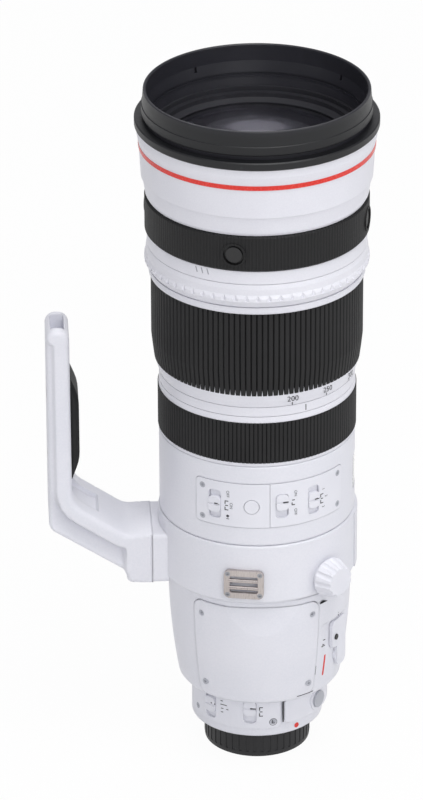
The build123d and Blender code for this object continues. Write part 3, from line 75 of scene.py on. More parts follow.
def surface(name, shade, tint, grain, roughness, bump=0.02, stretch=(1, 1, 1), metallic=0.0,
            speckle=None, edge=0.0, **sockets):
    """Material whose colour wanders between shade and tint on a grain of so many millimetres.

    roughness is its (lowest, highest) over the same grain, bump the grain's height, stretch
    how many times finer the grain is along each axis, and edge how far edges are broken.
    speckle is the colour of worn or dusty flecks and how far under the highest grain they
    start. sockets are constant settings of the shader itself.
    """
    material = bpy.data.materials.new(name)
    material.use_nodes = True
    tree = material.node_tree
    shader = tree.nodes["Principled BSDF"]
    place = add_node(tree, "ShaderNodeTexCoord").outputs["Object"]
    spread = add_node(tree, "ShaderNodeMapping", {
        "Vector": place,
        "Scale": tuple(finer / (grain * MM) for finer in stretch)}).outputs["Vector"]
    grains = add_node(tree, "ShaderNodeTexNoise", {
        "Vector": spread, "Scale": 1.0, "Detail": 3.0, "Roughness": 0.55}).outputs["Fac"]
    drift = add_node(tree, "ShaderNodeTexNoise", {
        "Vector": place, "Scale": 1 / (TONE_DRIFT * MM), "Detail": 2.0}).outputs["Fac"]
    both = add_node(tree, "ShaderNodeMath", {0: grains, 1: drift}, operation="ADD").outputs[0]
    tone = add_node(tree, "ShaderNodeMapRange", {
        "Value": both, "From Min": 0.7, "From Max": 1.3}).outputs["Result"]
    colour = add_node(tree, "ShaderNodeMix", {
        "Factor": tone, "A": linear(shade), "B": linear(tint)}, data_type="RGBA").outputs["Result"]
    if speckle:
        fleck_colour, fleck_depth = speckle
        flecks = add_node(tree, "ShaderNodeMapRange", {
            "Value": grains, "From Min": 1 - fleck_depth, "From Max": 1.02 - fleck_depth,
            }).outputs["Result"]
        colour = add_node(tree, "ShaderNodeMix", {
            "Factor": flecks, "A": colour, "B": linear(fleck_colour)},
            data_type="RGBA").outputs["Result"]
    tree.links.new(colour, shader.inputs["Base Color"])
    gloss = add_node(tree, "ShaderNodeMapRange", {
        "Value": grains, "From Min": 0.3, "From Max": 0.7,
        "To Min": roughness[0], "To Max": roughness[1]}).outputs["Result"]
    tree.links.new(gloss, shader.inputs["Roughness"])
    if bump:
        relief_inputs = {"Height": grains, "Strength": 1.0, "Distance": bump * MM}
        if edge:
            # Edges rounded in the shading, as paint and moulding leave them
            relief_inputs["Normal"] = add_node(
                tree, "ShaderNodeBevel", {"Radius": edge * MM}, samples=6).outputs["Normal"]
        relief = add_node(tree, "ShaderNodeBump", relief_inputs).outputs["Normal"]
        tree.links.new(relief, shader.inputs["Normal"])
    shader.inputs["Metallic"].default_value = metallic
    for socket, value in sockets.items():
        shader.inputs[socket.replace("_", " ")].default_value = value
    return material


def ribs_by_bump(material, count, depth, painted_groove_shade):
    """Adds fine lengthwise ribs round the optical axis to a material's relief.

    Its colour darkens towards the floor of each groove: painted shade.
    """
    groove, rib_top = -0.6, 0.1  # where a sine wave round the axis turns into floor and top
    tree = material.node_tree
    shader = tree.nodes["Principled BSDF"]
    place = add_node(tree, "ShaderNodeTexCoord").outputs["Object"]
    parts = add_node(tree, "ShaderNodeSeparateXYZ", {"Vector": place})
    angle = add_node(tree, "ShaderNodeMath", {
        0: parts.outputs["Y"], 1: parts.outputs["X"]}, operation="ARCTAN2").outputs[0]
    turns = add_node(tree, "ShaderNodeMath", {
        0: angle, 1: float(count)}, operation="MULTIPLY").outputs[0]
    wave = add_node(tree, "ShaderNodeMath", {0: turns}, operation="SINE").outputs[0]
    flat = add_node(tree, "ShaderNodeMapRange", {
        "Value": wave, "From Min": groove, "From Max": rib_top}).outputs["Result"]
    before = shader.inputs["Normal"].links[0].from_socket
    relief = add_node(tree, "ShaderNodeBump", {
        "Height": flat, "Strength": 1.0, "Distance": depth * MM,
        "Normal": before}).outputs["Normal"]
    tree.links.new(relief, shader.inputs["Normal"])
    base = shader.inputs["Base Color"].links[0].from_socket
    # Painted shade: the colour darkens towards the floor of each groove
    dark = add_node(tree, "ShaderNodeMix", {
        "Factor": flat, "A": linear(painted_groove_shade), "B": base},
        data_type="RGBA").outputs["Result"]
    tree.links.new(dark, shader.inputs["Base Color"])
    return material


def paler_bore(material, radius, shade):
    """Paints light into a material: a paler tone within a radius of the optical axis."""
    fade = 0.2  # either side of the radius
    tree = material.node_tree
    shader = tree.nodes["Principled BSDF"]
    place = add_node(tree, "ShaderNodeTexCoord").outputs["Object"]
    flat = add_node(tree, "ShaderNodeVectorMath", {
        0: place, 1: (1, 1, 0)}, operation="MULTIPLY").outputs["Vector"]
    reach = add_node(tree, "ShaderNodeVectorMath", {
        0: flat}, operation="LENGTH").outputs["Value"]
    inside = add_node(tree, "ShaderNodeMapRange", {
        "Value": reach, "From Min": (radius + fade) * MM,
        "From Max": (radius - fade) * MM}).outputs["Result"]
    base = shader.inputs["Base Color"].links[0].from_socket
    # Painted light: inside the radius the colour turns to the paler shade
    toned = add_node(tree, "ShaderNodeMix", {
        "Factor": inside, "A": base, "B": linear(shade)}, data_type="RGBA").outputs["Result"]
    tree.links.new(toned, shader.inputs["Base Color"])
    return material


# Materials

# Satin heat-shield enamel, sprayed on the magnesium barrel castings: cool white, low sheen
# and a slight orange peel of about a millimetre
enamel_on_castings = surface(
    "satin_enamel_on_magnesium", "#E0E1E8", "#E7E7ED", 1.1, (0.36, 0.46), bump=0.012, edge=1.2,
    IOR=1.5)
# Same enamel on the turned aluminium rings, a little smoother than on the castings
enamel_on_rings = surface(
    "satin_enamel_on_turned_aluminium", "#E1E1E8", "#E8E8EE", 0.8, (0.33, 0.42), bump=0.006,
    edge=0.4, IOR=1.5)
# Moulded polycarbonate switch panels and knobs in the barrel's white: the spark-eroded mould
# leaves a fine even grain
moulded_white = surface(
    "spark_eroded_white_polycarbonate", "#E2E3EA", "#E9E9EF", 0.35, (0.40, 0.50), bump=0.010,
    edge=0.3, IOR=1.58)
# Nitrile rubber of the ring grips: dull black with a dusty bloom on top of the ribs
grip_rubber = surface(
    "moulded_nitrile_rubber", "#151516", "#212122", 0.6, (0.55, 0.72), bump=0.02,
    speckle=("#2C2C2D", 0.30), IOR=1.52, Specular_IOR_Level=0.35)
# Same rubber with the very fine ribs of the narrow ring under the front barrel, and painted
# shade that darkens their grooves
fine_grip_rubber = ribs_by_bump(
    surface("finely_ribbed_nitrile_rubber", "#151516", "#202021", 0.6, (0.55, 0.70), bump=0.02,
            IOR=1.52, Specular_IOR_Level=0.35),
    count=200, depth=0.35, painted_groove_shade="#161617")
# Rubber of the focus-stop buttons and the lever's lock, smooth from the mould
button_rubber = surface(
    "smooth_moulded_rubber", "#1D1D1E", "#262627", 0.5, (0.45, 0.55), bump=0.008, IOR=1.52)
# Hard anodised aluminium of the hood ring: satin black with fine turning lines round the
# axis, and a paler matt tone inside its bore, which is painted light on the lit inner wall
black_anodised = paler_bore(
    surface("turned_black_anodised_aluminium", "#0F1012", "#17181B", 0.5, (0.38, 0.50),
            bump=0.010, stretch=(0.15, 0.15, 1.6), IOR=1.5, Specular_IOR_Level=0.45),
    radius=59.0, shade="#25252B")
# Matt black paint inside the front cell and on hidden barrels, which kills stray light
baffle_black = surface(
    "matt_baffle_paint", "#1F1F24", "#2A2A30", 0.3, (0.60, 0.72), bump=0.015, IOR=1.45)
# Moulded ABS of the rear cap: dark grey-black with a soft even gloss
moulded_black = surface(
    "moulded_black_abs", "#131315", "#1B1B1E", 0.45, (0.45, 0.55), bump=0.012, IOR=1.54,
    Specular_IOR_Level=0.4)
# Gloss red enamel filled into the turned groove of the front barrel
red_enamel = surface(
    "gloss_red_enamel", "#D8281E", "#E23428", 0.9, (0.22, 0.30), bump=0.004, IOR=1.52)
# Stainless steel of the strap lugs, brushed along the barrel: warm grey, long streaks
brushed_steel = surface(
    "brushed_stainless_steel", "#AFA6A3", "#D3CBC8", 0.35, (0.26, 0.42), bump=0.010,
    stretch=(1.0, 1.0, 0.08), metallic=1.0)
# Chrome-plated brass of the bayonet: bright, with fine turning lines
turned_bright_plate = surface(
    "turned_chrome_plated_brass", "#B9BABD", "#D0D1D4", 0.4, (0.16, 0.26), bump=0.006,
    stretch=(0.2, 0.2, 1.5), metallic=1.0)
# Steel screws with dull nickel plate: mid grey with a soft shine
nickel_plate = surface(
    "dull_nickel_plated_steel", "#8F9096", "#B4B5BA", 0.25, (0.28, 0.40), bump=0.006,
    metallic=1.0)
# Screws of the covers, painted over their plate and worn back to grey in the cross slots
painted_screws = surface(
    "painted_steel_screw_heads", "#A9ABB3", "#BDBFC6", 0.25, (0.34, 0.44), bump=0.008, IOR=1.5)
# Silver-grey paint on the filter's moulded release button
painted_button = surface(
    "silver_grey_painted_abs", "#A9ABB3", "#B8BAC1", 0.4, (0.34, 0.44), bump=0.008, IOR=1.52)
# Milled aluminium left bare on the extender's plates: cutter lines lie along one side
milled_aluminium = surface(
    "milled_aluminium", "#B3B4B6", "#C9CACC", 0.5, (0.30, 0.42), bump=0.012,
    stretch=(1.6, 0.2, 1.0), metallic=1.0)
# Black anodised cells that hold the inner glass, with turning lines
cell_black = surface(
    "black_anodised_lens_cell", "#242428", "#303036", 0.5, (0.45, 0.60), bump=0.008,
    stretch=(0.2, 0.2, 1.5), IOR=1.5)
# Green solder-masked laminate, smooth and a little glossy over the glass weave
laminate = surface(
    "solder_masked_glass_epoxy", "#0F4A2A", "#17603A", 0.7, (0.30, 0.42), bump=0.01, IOR=1.55)
# Painted shadow: dark matt colour laid along the wider gaps of the rear housing, where shade falls
gap_shadow_paint = surface(
    "painted_gap_shadow", "#1A1A1D", "#2A2A2E", 0.3, (0.85, 0.95), bump=0.03, IOR=1.45)
# Silk-screen inks: thin and flat, duller than the paint under them
grey_ink = surface("dark_grey_screen_ink", "#3A3A40", "#4A4A50", 0.3, (0.50, 0.62), bump=0.004)
black_ink = surface("black_screen_ink", "#1C1C1F", "#26262A", 0.3, (0.50, 0.62), bump=0.004)
red_ink = surface("red_screen_ink", "#D92E27", "#E23A31", 0.3, (0.40, 0.50), bump=0.004)
pale_ink = surface("pale_grey_screen_ink", "#9A9AA2", "#AAAAB2", 0.3, (0.50, 0.62), bump=0.004)


def coated_glass(name, tint, clear, reflection, roughness=0.02, coat=0.0, clarity=1.0):
    """Polished optical glass with an anti-reflection coat that tints what it mirrors."""
    material = surface(
        name, tint, clear, 60.0, (roughness, roughness + 0.01), bump=0,
        Transmission_Weight=clarity, IOR=1.6, Coat_Weight=coat, Coat_IOR=2.1)
    shader = material.node_tree.nodes["Principled BSDF"]
    shader.inputs["Specular Tint"].default_value = linear(reflection)
    return material


# Front element of fluorite and low-dispersion glass: clear, and mirrors a weak lilac
front_coated_glass = coated_glass(
    "lilac_coated_optical_glass", "#E9EAF2", "#F4F3FA", "#B9A7D9", coat=0.25)
# Elements behind it: their many coated faces mirror more, in violet, and a pale milky
# share of the glass is painted reflection of those faces
inner_coated_glass = coated_glass(
    "violet_coated_optical_glass", "#DEDCE6", "#E6E4EE", "#B4A8CE", coat=1.0, clarity=0.72)
# Clear acrylic of the distance window: uncoated, so it mirrors plain white, and a little soft
window_acrylic = coated_glass(
    "clear_acrylic_window", "#E6E8EC", "#F2F3F5", "#FFFFFF", roughness=0.04)

finishes = {
    enamel_on_castings: ("switch_barrel", "tripod_collar", "foot", "rear_housing",
                         "extender_cover"),
    enamel_on_rings: ("front_barrel", "index_rings", "zoom_ring", "focus_ring", "preset_ring"),
    moulded_white: ("focus_switch_panel", "stabiliser_switch_panel", "rear_switch_panel",
                    "collar_lock_knob", "extender_lever", "filter_holder", "preset_set_button",
                    "focus_preset_switch", "stabiliser_switch", "stabiliser_mode_switch",
                    "focus_mode_switch", "distance_limit_switch"),
    grip_rubber: ("zoom_ring_rubber", "focus_ring_rubber", "foot_grip"),
    fine_grip_rubber: ("focus_stop_ring",),
    button_rubber: ("focus_stop_button_1", "focus_stop_button_2", "focus_stop_button_3",
                    "focus_stop_button_4", "lever_lock_button"),
    black_anodised: ("hood_mount_ring",),
    baffle_black: ("front_retaining_ring", "main_tube"),
    moulded_black: ("rear_cap", "contact_block", "distance_scale_drum"),
    red_enamel: ("red_ring",),
    brushed_steel: ("strap_lugs", "foot_bushes"),
    turned_bright_plate: ("bayonet_mount",),
    nickel_plate: ("foot_screws", "lug_screws", "mount_screws"),
    painted_screws: ("cover_screws", "panel_screws"),
    painted_button: ("filter_release_button",),
    milled_aluminium: ("extender_frame",),
    cell_black: ("front_lens_cell", "iris_unit", "stabiliser_unit", "zoom_lens_group",
                 "focus_lens_group", "relay_group", "extender_carrier", "rear_chassis"),
    front_coated_glass: ("front_glass",),
    inner_coated_glass: ("front_group_glasses",),
    window_acrylic: ("distance_window",),
    laminate: ("main_board",),
}
for material, names in finishes.items():
    for name in names:
        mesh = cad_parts[name].data
        mesh.materials.clear()
        mesh.materials.append(material)


# Pieces made here

def add_object(name, data):
    """Adds an object that holds this mesh, text, lamp or camera to the scene."""
    made = bpy.data.objects.new(name, data)
    bpy.context.scene.collection.objects.link(made)
    return made


def mesh_of(shape, name):
    """Ends the making of a shape and gives it as a mesh."""
    mesh = bpy.data.meshes.new(name)
    shape.to_mesh(mesh)
    shape.free()
    return mesh


def mesh_shown(holder):
    """Mesh that an object shows, with its cuts made or its text drawn."""
    graph = bpy.context.evaluated_depsgraph_get()
    return bpy.data.meshes.new_from_object(holder.evaluated_get(graph))


def place_piece(name, mesh, material, body):
    """Adds a mesh as a piece of the object that rides on a body."""
    mesh.materials.clear()
    mesh.materials.append(material)
    piece = add_object(name, mesh)
    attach(piece, body)
    return piece


def on_barrel(angle, height, reach):
    """Point on the barrel in metres from its angle, height and distance from the axis."""
    turn = math.radians(angle)
    return Vector((reach * math.cos(turn), reach * math.sin(turn), height)) * MM


def wrap(mesh, angle, height, reach, reads_down=False):
    """Lays a flat drawing on the barrel, upright or reading to the rear.

    reach is the skin's distance from the axis, or a function that gives it at an angle and
    height.
    """
    if callable(reach):
        # A bulged skin needs corners in the middle of a mark too
        shape = bmesh.new()
        shape.from_mesh(mesh)
        bmesh.ops.triangulate(shape, faces=shape.faces)
        bmesh.ops.subdivide_edges(shape, edges=shape.edges, cuts=3, use_grid_fill=True)
        bmesh.ops.triangulate(shape, faces=shape.faces)
        shape.to_mesh(mesh)
        shape.free()
    for vertex in mesh.vertices:
        along, up = vertex.co.x, vertex.co.y
        if reads_down:
            along, up = up, -along
        skin = reach(angle, height + up) if callable(reach) else reach
        around = angle + math.degrees(along / skin)
        vertex.co = on_barrel(around, height + up, skin + vertex.co.z)


INK_HEIGHT = 0.04  # of a print over its surface
CAPITAL_SHARE = 0.7  # height of a capital letter as a share of its type size


def printed(name, words, angle, height, reach, capital, ink=grey_ink, body="barrel",
            reads_down=False):
    """Plain printed characters, capital being the height of a capital letter."""
    drawing = bpy.data.curves.new(name + "_drawing", "FONT")
    drawing.body = words
    drawing.size = capital / CAPITAL_SHARE
    drawing.align_x = "CENTER"
    drawing.align_y = "CENTER"
    drawing.resolution_u = 3
    holder = add_object(name + "_drawing", drawing)
    mesh = mesh_shown(holder)
    bpy.data.objects.remove(holder)
    for vertex in mesh.vertices:
        vertex.co.z = INK_HEIGHT
    wrap(mesh, angle, height, reach, reads_down)
    return place_piece(name, mesh, ink, body)


def marks(name, outlines, angle, height, reach, ink=grey_ink, body="barrel"):
    """Printed bars, triangles and dots from flat outlines about one place."""
    shape = bmesh.new()
    for outline in outlines:
        shape.faces.new([shape.verts.new((x, y, INK_HEIGHT)) for x, y in outline])
    mesh = mesh_of(shape, name)
    wrap(mesh, angle, height, reach)
    return place_piece(name, mesh, ink, body)


def bar(x, y, wide, tall):
    """Upright rectangle about its middle."""
    return [(x - wide / 2, y - tall / 2), (x + wide / 2, y - tall / 2),
            (x + wide / 2, y + tall / 2), (x - wide / 2, y + tall / 2)]


def ring_parts(x, y, radius, bore, corners=24):
    """Short pieces that make up a thin printed circle."""
    parts = []
    for step in range(corners):
        start, end = (2 * math.pi * turn / corners for turn in (step, step + 1))
        parts.append([(x + reach * math.cos(turn), y + reach * math.sin(turn))
                      for reach, turn in ((radius, start), (radius, end), (bore, end),
                                          (bore, start))])
    return parts


def rounded_bar(x, y, wide, tall, corners=12):
    """Upright bar with half-round ends about its middle."""
    outline = []
    for end in (1, -1):
        for step in range(corners + 1):
            turn = math.pi * step / corners + (0 if end > 0 else math.pi)
            outline.append((x + wide / 2 * math.cos(turn),
                            y + end * (tall - wide) / 2 + wide / 2 * math.sin(turn)))
    return outline


def dot(x, y, radius, corners=24):
    """Round mark about its middle."""
    return [(x + radius * math.cos(2 * math.pi * step / corners),
             y + radius * math.sin(2 * math.pi * step / corners)) for step in range(corners)]


def zoom_band_reach(height):
    """Distance from the axis to the cone between the fixed band and the zoom rubber."""
    clearance = 0.03
    low, middle, high = (51.9, 223.3), (53.1, 227.15), (53.9, 231.0)  # (distance, height)
    start, end = (low, middle) if height < middle[1] else (middle, high)
    widened = (end[0] - start[0]) * (height - start[1]) / (end[1] - start[1])
    return start[0] + widened + clearance


def housing_reach(angle, height):
    """Distance from the optical axis to the skin of the rear housing or of its cover."""
    well_outside = 80.0
    outside, axis = on_barrel(angle, height, well_outside), on_barrel(angle, height, 0.0)
    skin = 0.0
    for name in ("rear_housing", "extender_cover"):
        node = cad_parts[name]
        inwards = node.matrix_world.inverted()
        direction = (inwards.to_3x3() @ (axis - outside)).normalized()
        hit, place, _, _ = node.ray_cast(inwards @ outside, direction)
        if hit:
            place = node.matrix_world @ place
            skin = max(skin, math.hypot(place.x, place.y) / MM)
    return skin


# Zoom scale on the white band of the zoom ring: the figures turn with the ring
zoom_band = 226.8
figure_middle, figure_top = zoom_band + 0.8, zoom_band + 2.3
tick_middle, tick_top = zoom_band - 2.3, zoom_band - 1.5
for focal, angle in ((200, -72.9), (250, -49.7), (300, -26.8), (350, -3.8), (400, 19.3)):
    printed(f"zoom_figure_{focal}", str(focal), angle, figure_middle,
            zoom_band_reach(figure_top), 3.0, black_ink, "zoom_ring")
    marks(f"zoom_tick_{focal}", [bar(0, 0, 0.45, 1.6)], angle, tick_middle,
          zoom_band_reach(tick_top), black_ink, "zoom_ring")
# Index line of the zoom scale on the fixed band under it
fixed_band_reach = 51.92
marks("zoom_index_line", [bar(0, 0, 0.5, 3.4)], -64.0, 220.4, fixed_band_reach, black_ink)

# Front panel: each slide switch carries a black bar, with plain bars, figures and ON or OFF
# beside it that read towards the rear of the lens
panel_reach, rear_panel_reach = 52.47, 36.32
slider_rise = 0.9  # of a slide switch over its panel
word_height, figure_height = 1.6, 1.7
for switch, angle, height in (("focus_preset_switch", -116.7, 165.6),
                              ("stabiliser_switch", -76.9, 167.4),
                              ("stabiliser_mode_switch", -57.0, 165.4)):
    marks(f"{switch}_bar", [bar(0, 0, 3.0, 0.7)], angle, height, panel_reach + slider_rise,
          black_ink, switch)
bracket = [bar(-1.0, 2.6, 2.0, 0.5), bar(-1.8, 1.6, 0.5, 1.6), bar(-1.0, 0, 1.6, 0.5),
           bar(-1.8, -1.6, 0.5, 1.6), bar(-1.0, -2.6, 2.0, 0.5)]
short_bracket = [bar(-1.0, 1.4, 1.6, 0.5), bar(-1.0, -1.4, 1.6, 0.5), bar(-1.8, -0.8, 0.5, 1.6)]
marks("preset_switch_marks", bracket, -110.1, 165.0, panel_reach, black_ink)
for name, word, angle, height in (("preset_switch_off", "OFF", -110.5, 171.8),
                                  ("preset_switch_on", "ON", -108.5, 165.0)):
    printed(name, word, angle, height, panel_reach, word_height, reads_down=True)
marks("preset_switch_sound", [dot(0.0, 0.0, 0.8), bar(0, -1.6, 1.6, 0.4)], -110.5, 158.8,
      panel_reach)
for name, word, angle, height in (("stabiliser_on", "ON", -70.7, 171.4),
                                  ("stabiliser_off", "OFF", -70.7, 160.5)):
    printed(name, word, angle, height, panel_reach, word_height, reads_down=True)
marks("stabiliser_marks", short_bracket, -70.9, 166.3, panel_reach, black_ink)
marks("stabiliser_mode_marks", bracket, -51.7, 163.9, panel_reach, black_ink)
for figure, angle, height in (("1", -51.7, 169.2), ("2", -49.5, 164.5), ("3", -51.8, 158.9)):
    printed(f"stabiliser_mode_{figure}", figure, angle, height, panel_reach, figure_height,
            reads_down=True)

# Rear panel: the same kind of marks, without words
for switch, angle, height in (("distance_limit_switch", -133.0, 33.4),
                              ("focus_mode_switch", -96.7, 34.9)):
    marks(f"{switch}_bar", [bar(0, 0, 3.2, 0.8)], angle, height, rear_panel_reach + slider_rise,
          black_ink, switch)
marks("distance_limit_marks", [bar(-2.2, 3.4, 1.5, 0.45), bar(-1.0, 1.2, 4.0, 0.45),
                               bar(-0.4, -1.2, 4.6, 0.45), bar(-2.0, -3.4, 1.5, 0.45)],
      -121.5, 33.0, rear_panel_reach, black_ink)
marks("focus_mode_marks", bracket, -88.4, 32.5, rear_panel_reach, black_ink)
marks("pass_mark", ring_parts(0, 0, 2.2, 1.9) + [bar(-0.5, 0.2, 0.4, 2.0),
                                                 bar(0.3, -0.7, 1.4, 0.4)],
      -79.5, 25.8, rear_panel_reach)
# Red dot that lines the lens up with the camera, on the edge of the rear barrel
barrel_edge_reach = 35.42
marks("mount_dot", [dot(0, 0, 1.5)], -56.3, 19.9, barrel_edge_reach, red_ink)

# Red bar and the figure of the extender beside its lever, and a mark at its lock
marks("extender_red_bar", [rounded_bar(0, 0, 1.3, 13.4)], -45.6, 59.4, housing_reach, red_ink)
printed("extender_figure", "1.4", -48.4, 74.4, housing_reach, 3.1, black_ink, reads_down=True)
lock_angle, lock_height = -34.3, 87.3
marks("lever_lock_mark", [bar(0, 1.6, 0.4, 2.6), dot(0, -0.8, 0.5)], lock_angle, lock_height,
      housing_reach(lock_angle, lock_height))

# Painted shadow in the wider gaps of the rear housing: dark strips beside the extender
# cover, across the lever's plate, by the filter holder and under the collar's clamp. Long
# strips are short bars in a row, which follow the bulge
marks("cover_gap_shadow", [bar(0, 1.5 * step, 0.8, 1.5) for step in range(-6, 7)], -53.2, 59.7,
      housing_reach, gap_shadow_paint)
marks("lever_plate_gap_shadow", [[(0.4, 1.1), (0.4, 0.8), (8.2, -1.2), (8.2, -0.9)]], -53.2, 67.9,
      housing_reach, gap_shadow_paint)
marks("filter_slot_gap_shadow", [bar(1.5 * step, 0.05 * step, 1.5, 0.5) for step in range(-3, 4)],
      -59.8, 45.2, housing_reach, gap_shadow_paint)
marks("filter_plate_gap_shadow", [bar(0, 0, 0.7, 15.8)], -70.6, 32.6, rear_panel_reach, gap_shadow_paint)
marks("clamp_gap_shadow", [[(2.7, -0.9), (8.3, -0.6), (5.0, 0.9), (2.7, 0.2)]], -56.0, 101.0,
      housing_reach, gap_shadow_paint)

# Index dot in the flange of the hood ring and three arrowheads by the preset ring
hood_flange_reach, preset_band_reach = 63.76, 57.72
marks("hood_index_dot", [dot(0, 0, 0.7)], -100.6, 364.6, hood_flange_reach, black_ink, "barrel")
arrowhead = [(-0.9, 1.6), (0.0, -1.6), (0.6, -1.4), (-0.3, 1.6)]
for number, angle in enumerate((-125.9, -122.6, -119.3)):
    marks(f"preset_arrow_{number}", [arrowhead], angle, 301.4, preset_band_reach, pale_ink)


# Tripod foot and grip pad, with the broken edges and hollowed web of the casting. Outlines
# lie in XZ, and a flat point's x and y are the foot's x and z.

OUTLINE_STEP = 1.6  # longest side of an outline
TURN_STEP = 0.16  # most that an outline turns at a corner point, in radians
FLANK_SPACING = 1.7  # of the points all over a flank
EDGE_STEPS = (0.15, 0.5, 1.1, 1.9, 2.8)  # distances from an edge at which a flank has points
CLOSEST = 0.12  # that such a point may lie to an edge


def split(start, end):
    """Points between two outline points, when these lie far apart."""
    pieces = math.ceil((end - start).length / OUTLINE_STEP)
    return [start.lerp(end, piece / pieces) for piece in range(1, pieces)]


def rounded_outline(corners):
    """Closed outline in even steps from (x, z, corner radius)."""
    outline = []
    for index, (x, z, radius) in enumerate(corners):
        here = Vector((x, z))
        before = (Vector(corners[index - 1][:2]) - here).normalized()
        after = (Vector(corners[(index + 1) % len(corners)][:2]) - here).normalized()
        opening = before.angle(after)
        middle = here + (before + after).normalized() * radius / math.sin(opening / 2)
        first = here + before * radius / math.tan(opening / 2) - middle
        sweep = math.copysign(math.pi - opening, after.cross(before))
        steps = max(2, math.ceil(abs(sweep) / TURN_STEP))
        for step in range(steps + 1):
            corner_point = middle + Matrix.Rotation(sweep * step / steps, 2) @ first
            if outline:
                outline += split(outline[-1], corner_point)
            outline.append(corner_point)
    return outline + split(outline[-1], outline[0])


def nearest(point, line):
    """Distance from a point to an open line of points."""
    best = math.inf
    for start, end in zip(line, line[1:]):
        along = end - start
        share = (point - start).dot(along) / max(along.length_squared, 1e-9)
        share = max(0.0, min(1.0, share))
        best = min(best, (start + along * share - point).length)
    return best


def ease(share):
    """Smooth step from 0 to 1."""
    share = max(0.0, min(1.0, share))
    return share * share * (3 - 2 * share)


def offsets(line, reaches):
    """Points beside a line at each of these distances to its left."""
    beside = []
    for before, here, after in zip(line, line[1:], line[2:]):
        along = (after - before).normalized()
        beside += [here + Vector((-along.y, along.x)) * reach for reach in reaches]
    return beside


def casting(outline, edges, side, extra):
    """Solid with this outline whose two flanks stand at side(point, distance from edges)."""
    closed = outline + outline[:1]
    low_x, low_z = (min(point[axis] for point in outline) for axis in (0, 1))
    high_x, high_z = (max(point[axis] for point in outline) for axis in (0, 1))
    grid = [Vector((low_x + FLANK_SPACING * column,
                    low_z + FLANK_SPACING * (row + 0.5 * (column % 2))))
            for column in range(1, int((high_x - low_x) / FLANK_SPACING) + 1)
            for row in range(1, int((high_z - low_z) / FLANK_SPACING) + 1)]
    spread = list(outline)
    for point in offsets(closed[-2:-1] + closed + closed[1:2], EDGE_STEPS) + extra + grid:
        if nearest(point, closed) > CLOSEST:
            spread.append(point)
    loop = [(index, (index + 1) % len(outline)) for index in range(len(outline))]
    inside_only, merge_within = 1, 0.01
    points, _, faces, origins, _, _ = delaunay_2d_cdt(spread, loop, [], inside_only,
                                                      merge_within)
    flank = [side(point, nearest(point, edges)) for point in points]
    at = {source: index for index, sources in enumerate(origins) for source in sources}
    shape = bmesh.new()
    near = [shape.verts.new((point.x, -out, point.y)) for point, out in zip(points, flank)]
    far = [shape.verts.new((point.x, out, point.y)) for point, out in zip(points, flank)]
    for face in faces:
        shape.faces.new([near[index] for index in face])
        shape.faces.new([far[index] for index in reversed(face)])
    for start, end in loop:
        shape.faces.new((near[at[start]], near[at[end]], far[at[end]], far[at[start]]))
    bmesh.ops.recalc_face_normals(shape, faces=shape.faces)
    return mesh_of(shape, "casting")


def hollow(mesh, cutters):
    """Mesh with others cut out of it, brought to metres and smooth across its soft edges."""
    softest = 38  # degrees that a soft edge may turn
    holder = add_object("casting_blank", mesh)
    tools = [add_object("casting_cutter", cutter) for cutter in cutters]
    for tool in tools:
        cut = holder.modifiers.new("cut", "BOOLEAN")
        cut.object = tool
        cut.solver = "EXACT"
    made = mesh_shown(holder)
    for thing in [holder] + tools:
        bpy.data.objects.remove(thing)
    made.transform(Matrix.Scale(MM, 4))
    made.shade_smooth()
    made.set_sharp_from_angle(angle=math.radians(softest))
    return made


def prism(outline, half_width):
    """Straight block with this outline."""
    shape = bmesh.new()
    flanks = [[shape.verts.new((x, side, z)) for x, z in outline]
              for side in (-half_width, half_width)]
    shape.faces.new(flanks[0])
    shape.faces.new(list(reversed(flanks[1])))
    for index in range(len(outline)):
        after = (index + 1) % len(outline)
        shape.faces.new((flanks[0][index], flanks[0][after], flanks[1][after],
                         flanks[1][index]))
    bmesh.ops.recalc_face_normals(shape, faces=shape.faces)
    return mesh_of(shape, "prism")


# Foot's x at the collar, at the end of its block, and inside and at the sole of its arm
foot_seam, foot_block, foot_inside, foot_sole = -56.8, -70.8, -99.3, -111.7
foot_bottom, foot_top = 104.6, 251.5
arm_half_depth = 6.2
foot_outline = rounded_outline([
    (foot_seam, foot_bottom, 0.5), (foot_seam, 133.4, 0.5), (foot_block, 133.4, 12.0),
    (foot_inside, 152.5, 14.0), (foot_inside, foot_top, 5.6), (foot_sole, foot_top, 5.6),
    (foot_sole, 136.0, 7.0), (foot_block, 109.6, 3.0), (foot_block, foot_bottom, 3.4)])
# All but the face on the collar, whose edges stay sharp
seam_face = 0.4
foot_edges = [point for point in foot_outline if point.x < foot_seam - seam_face]

# Half width: even along the block, then tapering towards the top of the arm
block_half_width, top_half_width, taper_start = 20.5, 13.5, 150.0
# Edge radius, which grows away from the collar over a run
seam_round, added_round, round_run = 1.2, 1.5, 16
# Hollow of the web, beside a rib along the inner edge: how deep it is at the rib and at a run
# from it, and the shallow strip that it fades into along the arm
rib_width, web_depth, web_edge_depth, web_run = 7.7, 9.5, 3.6, 12
strip_depth, strip_start, strip_fade = 2.4, 160, 18
# Runs over which the hollow falls away from the rib and from the block
rib_slope, block_slope = 2.2, 2.0


def on_inner_edge(point):
    """Whether an outline point lies on the edge from the top of the block up the arm."""
    over_block, edge_start, edge_slope, under_edge = 132, 133.3, 0.6, 9
    sloped = edge_start + (foot_block - point.x) * edge_slope - under_edge
    return point.y > max(over_block, sloped) and point.x > foot_inside - arm_half_depth


inner_edge = [point for point in foot_outline if on_inner_edge(point)]


def foot_half_width(height):
    """Half width of the plain foot at a height."""
    above, taper_length = max(0.0, height - taper_start), foot_top - taper_start
    return block_half_width - above * (block_half_width - top_half_width) / taper_length


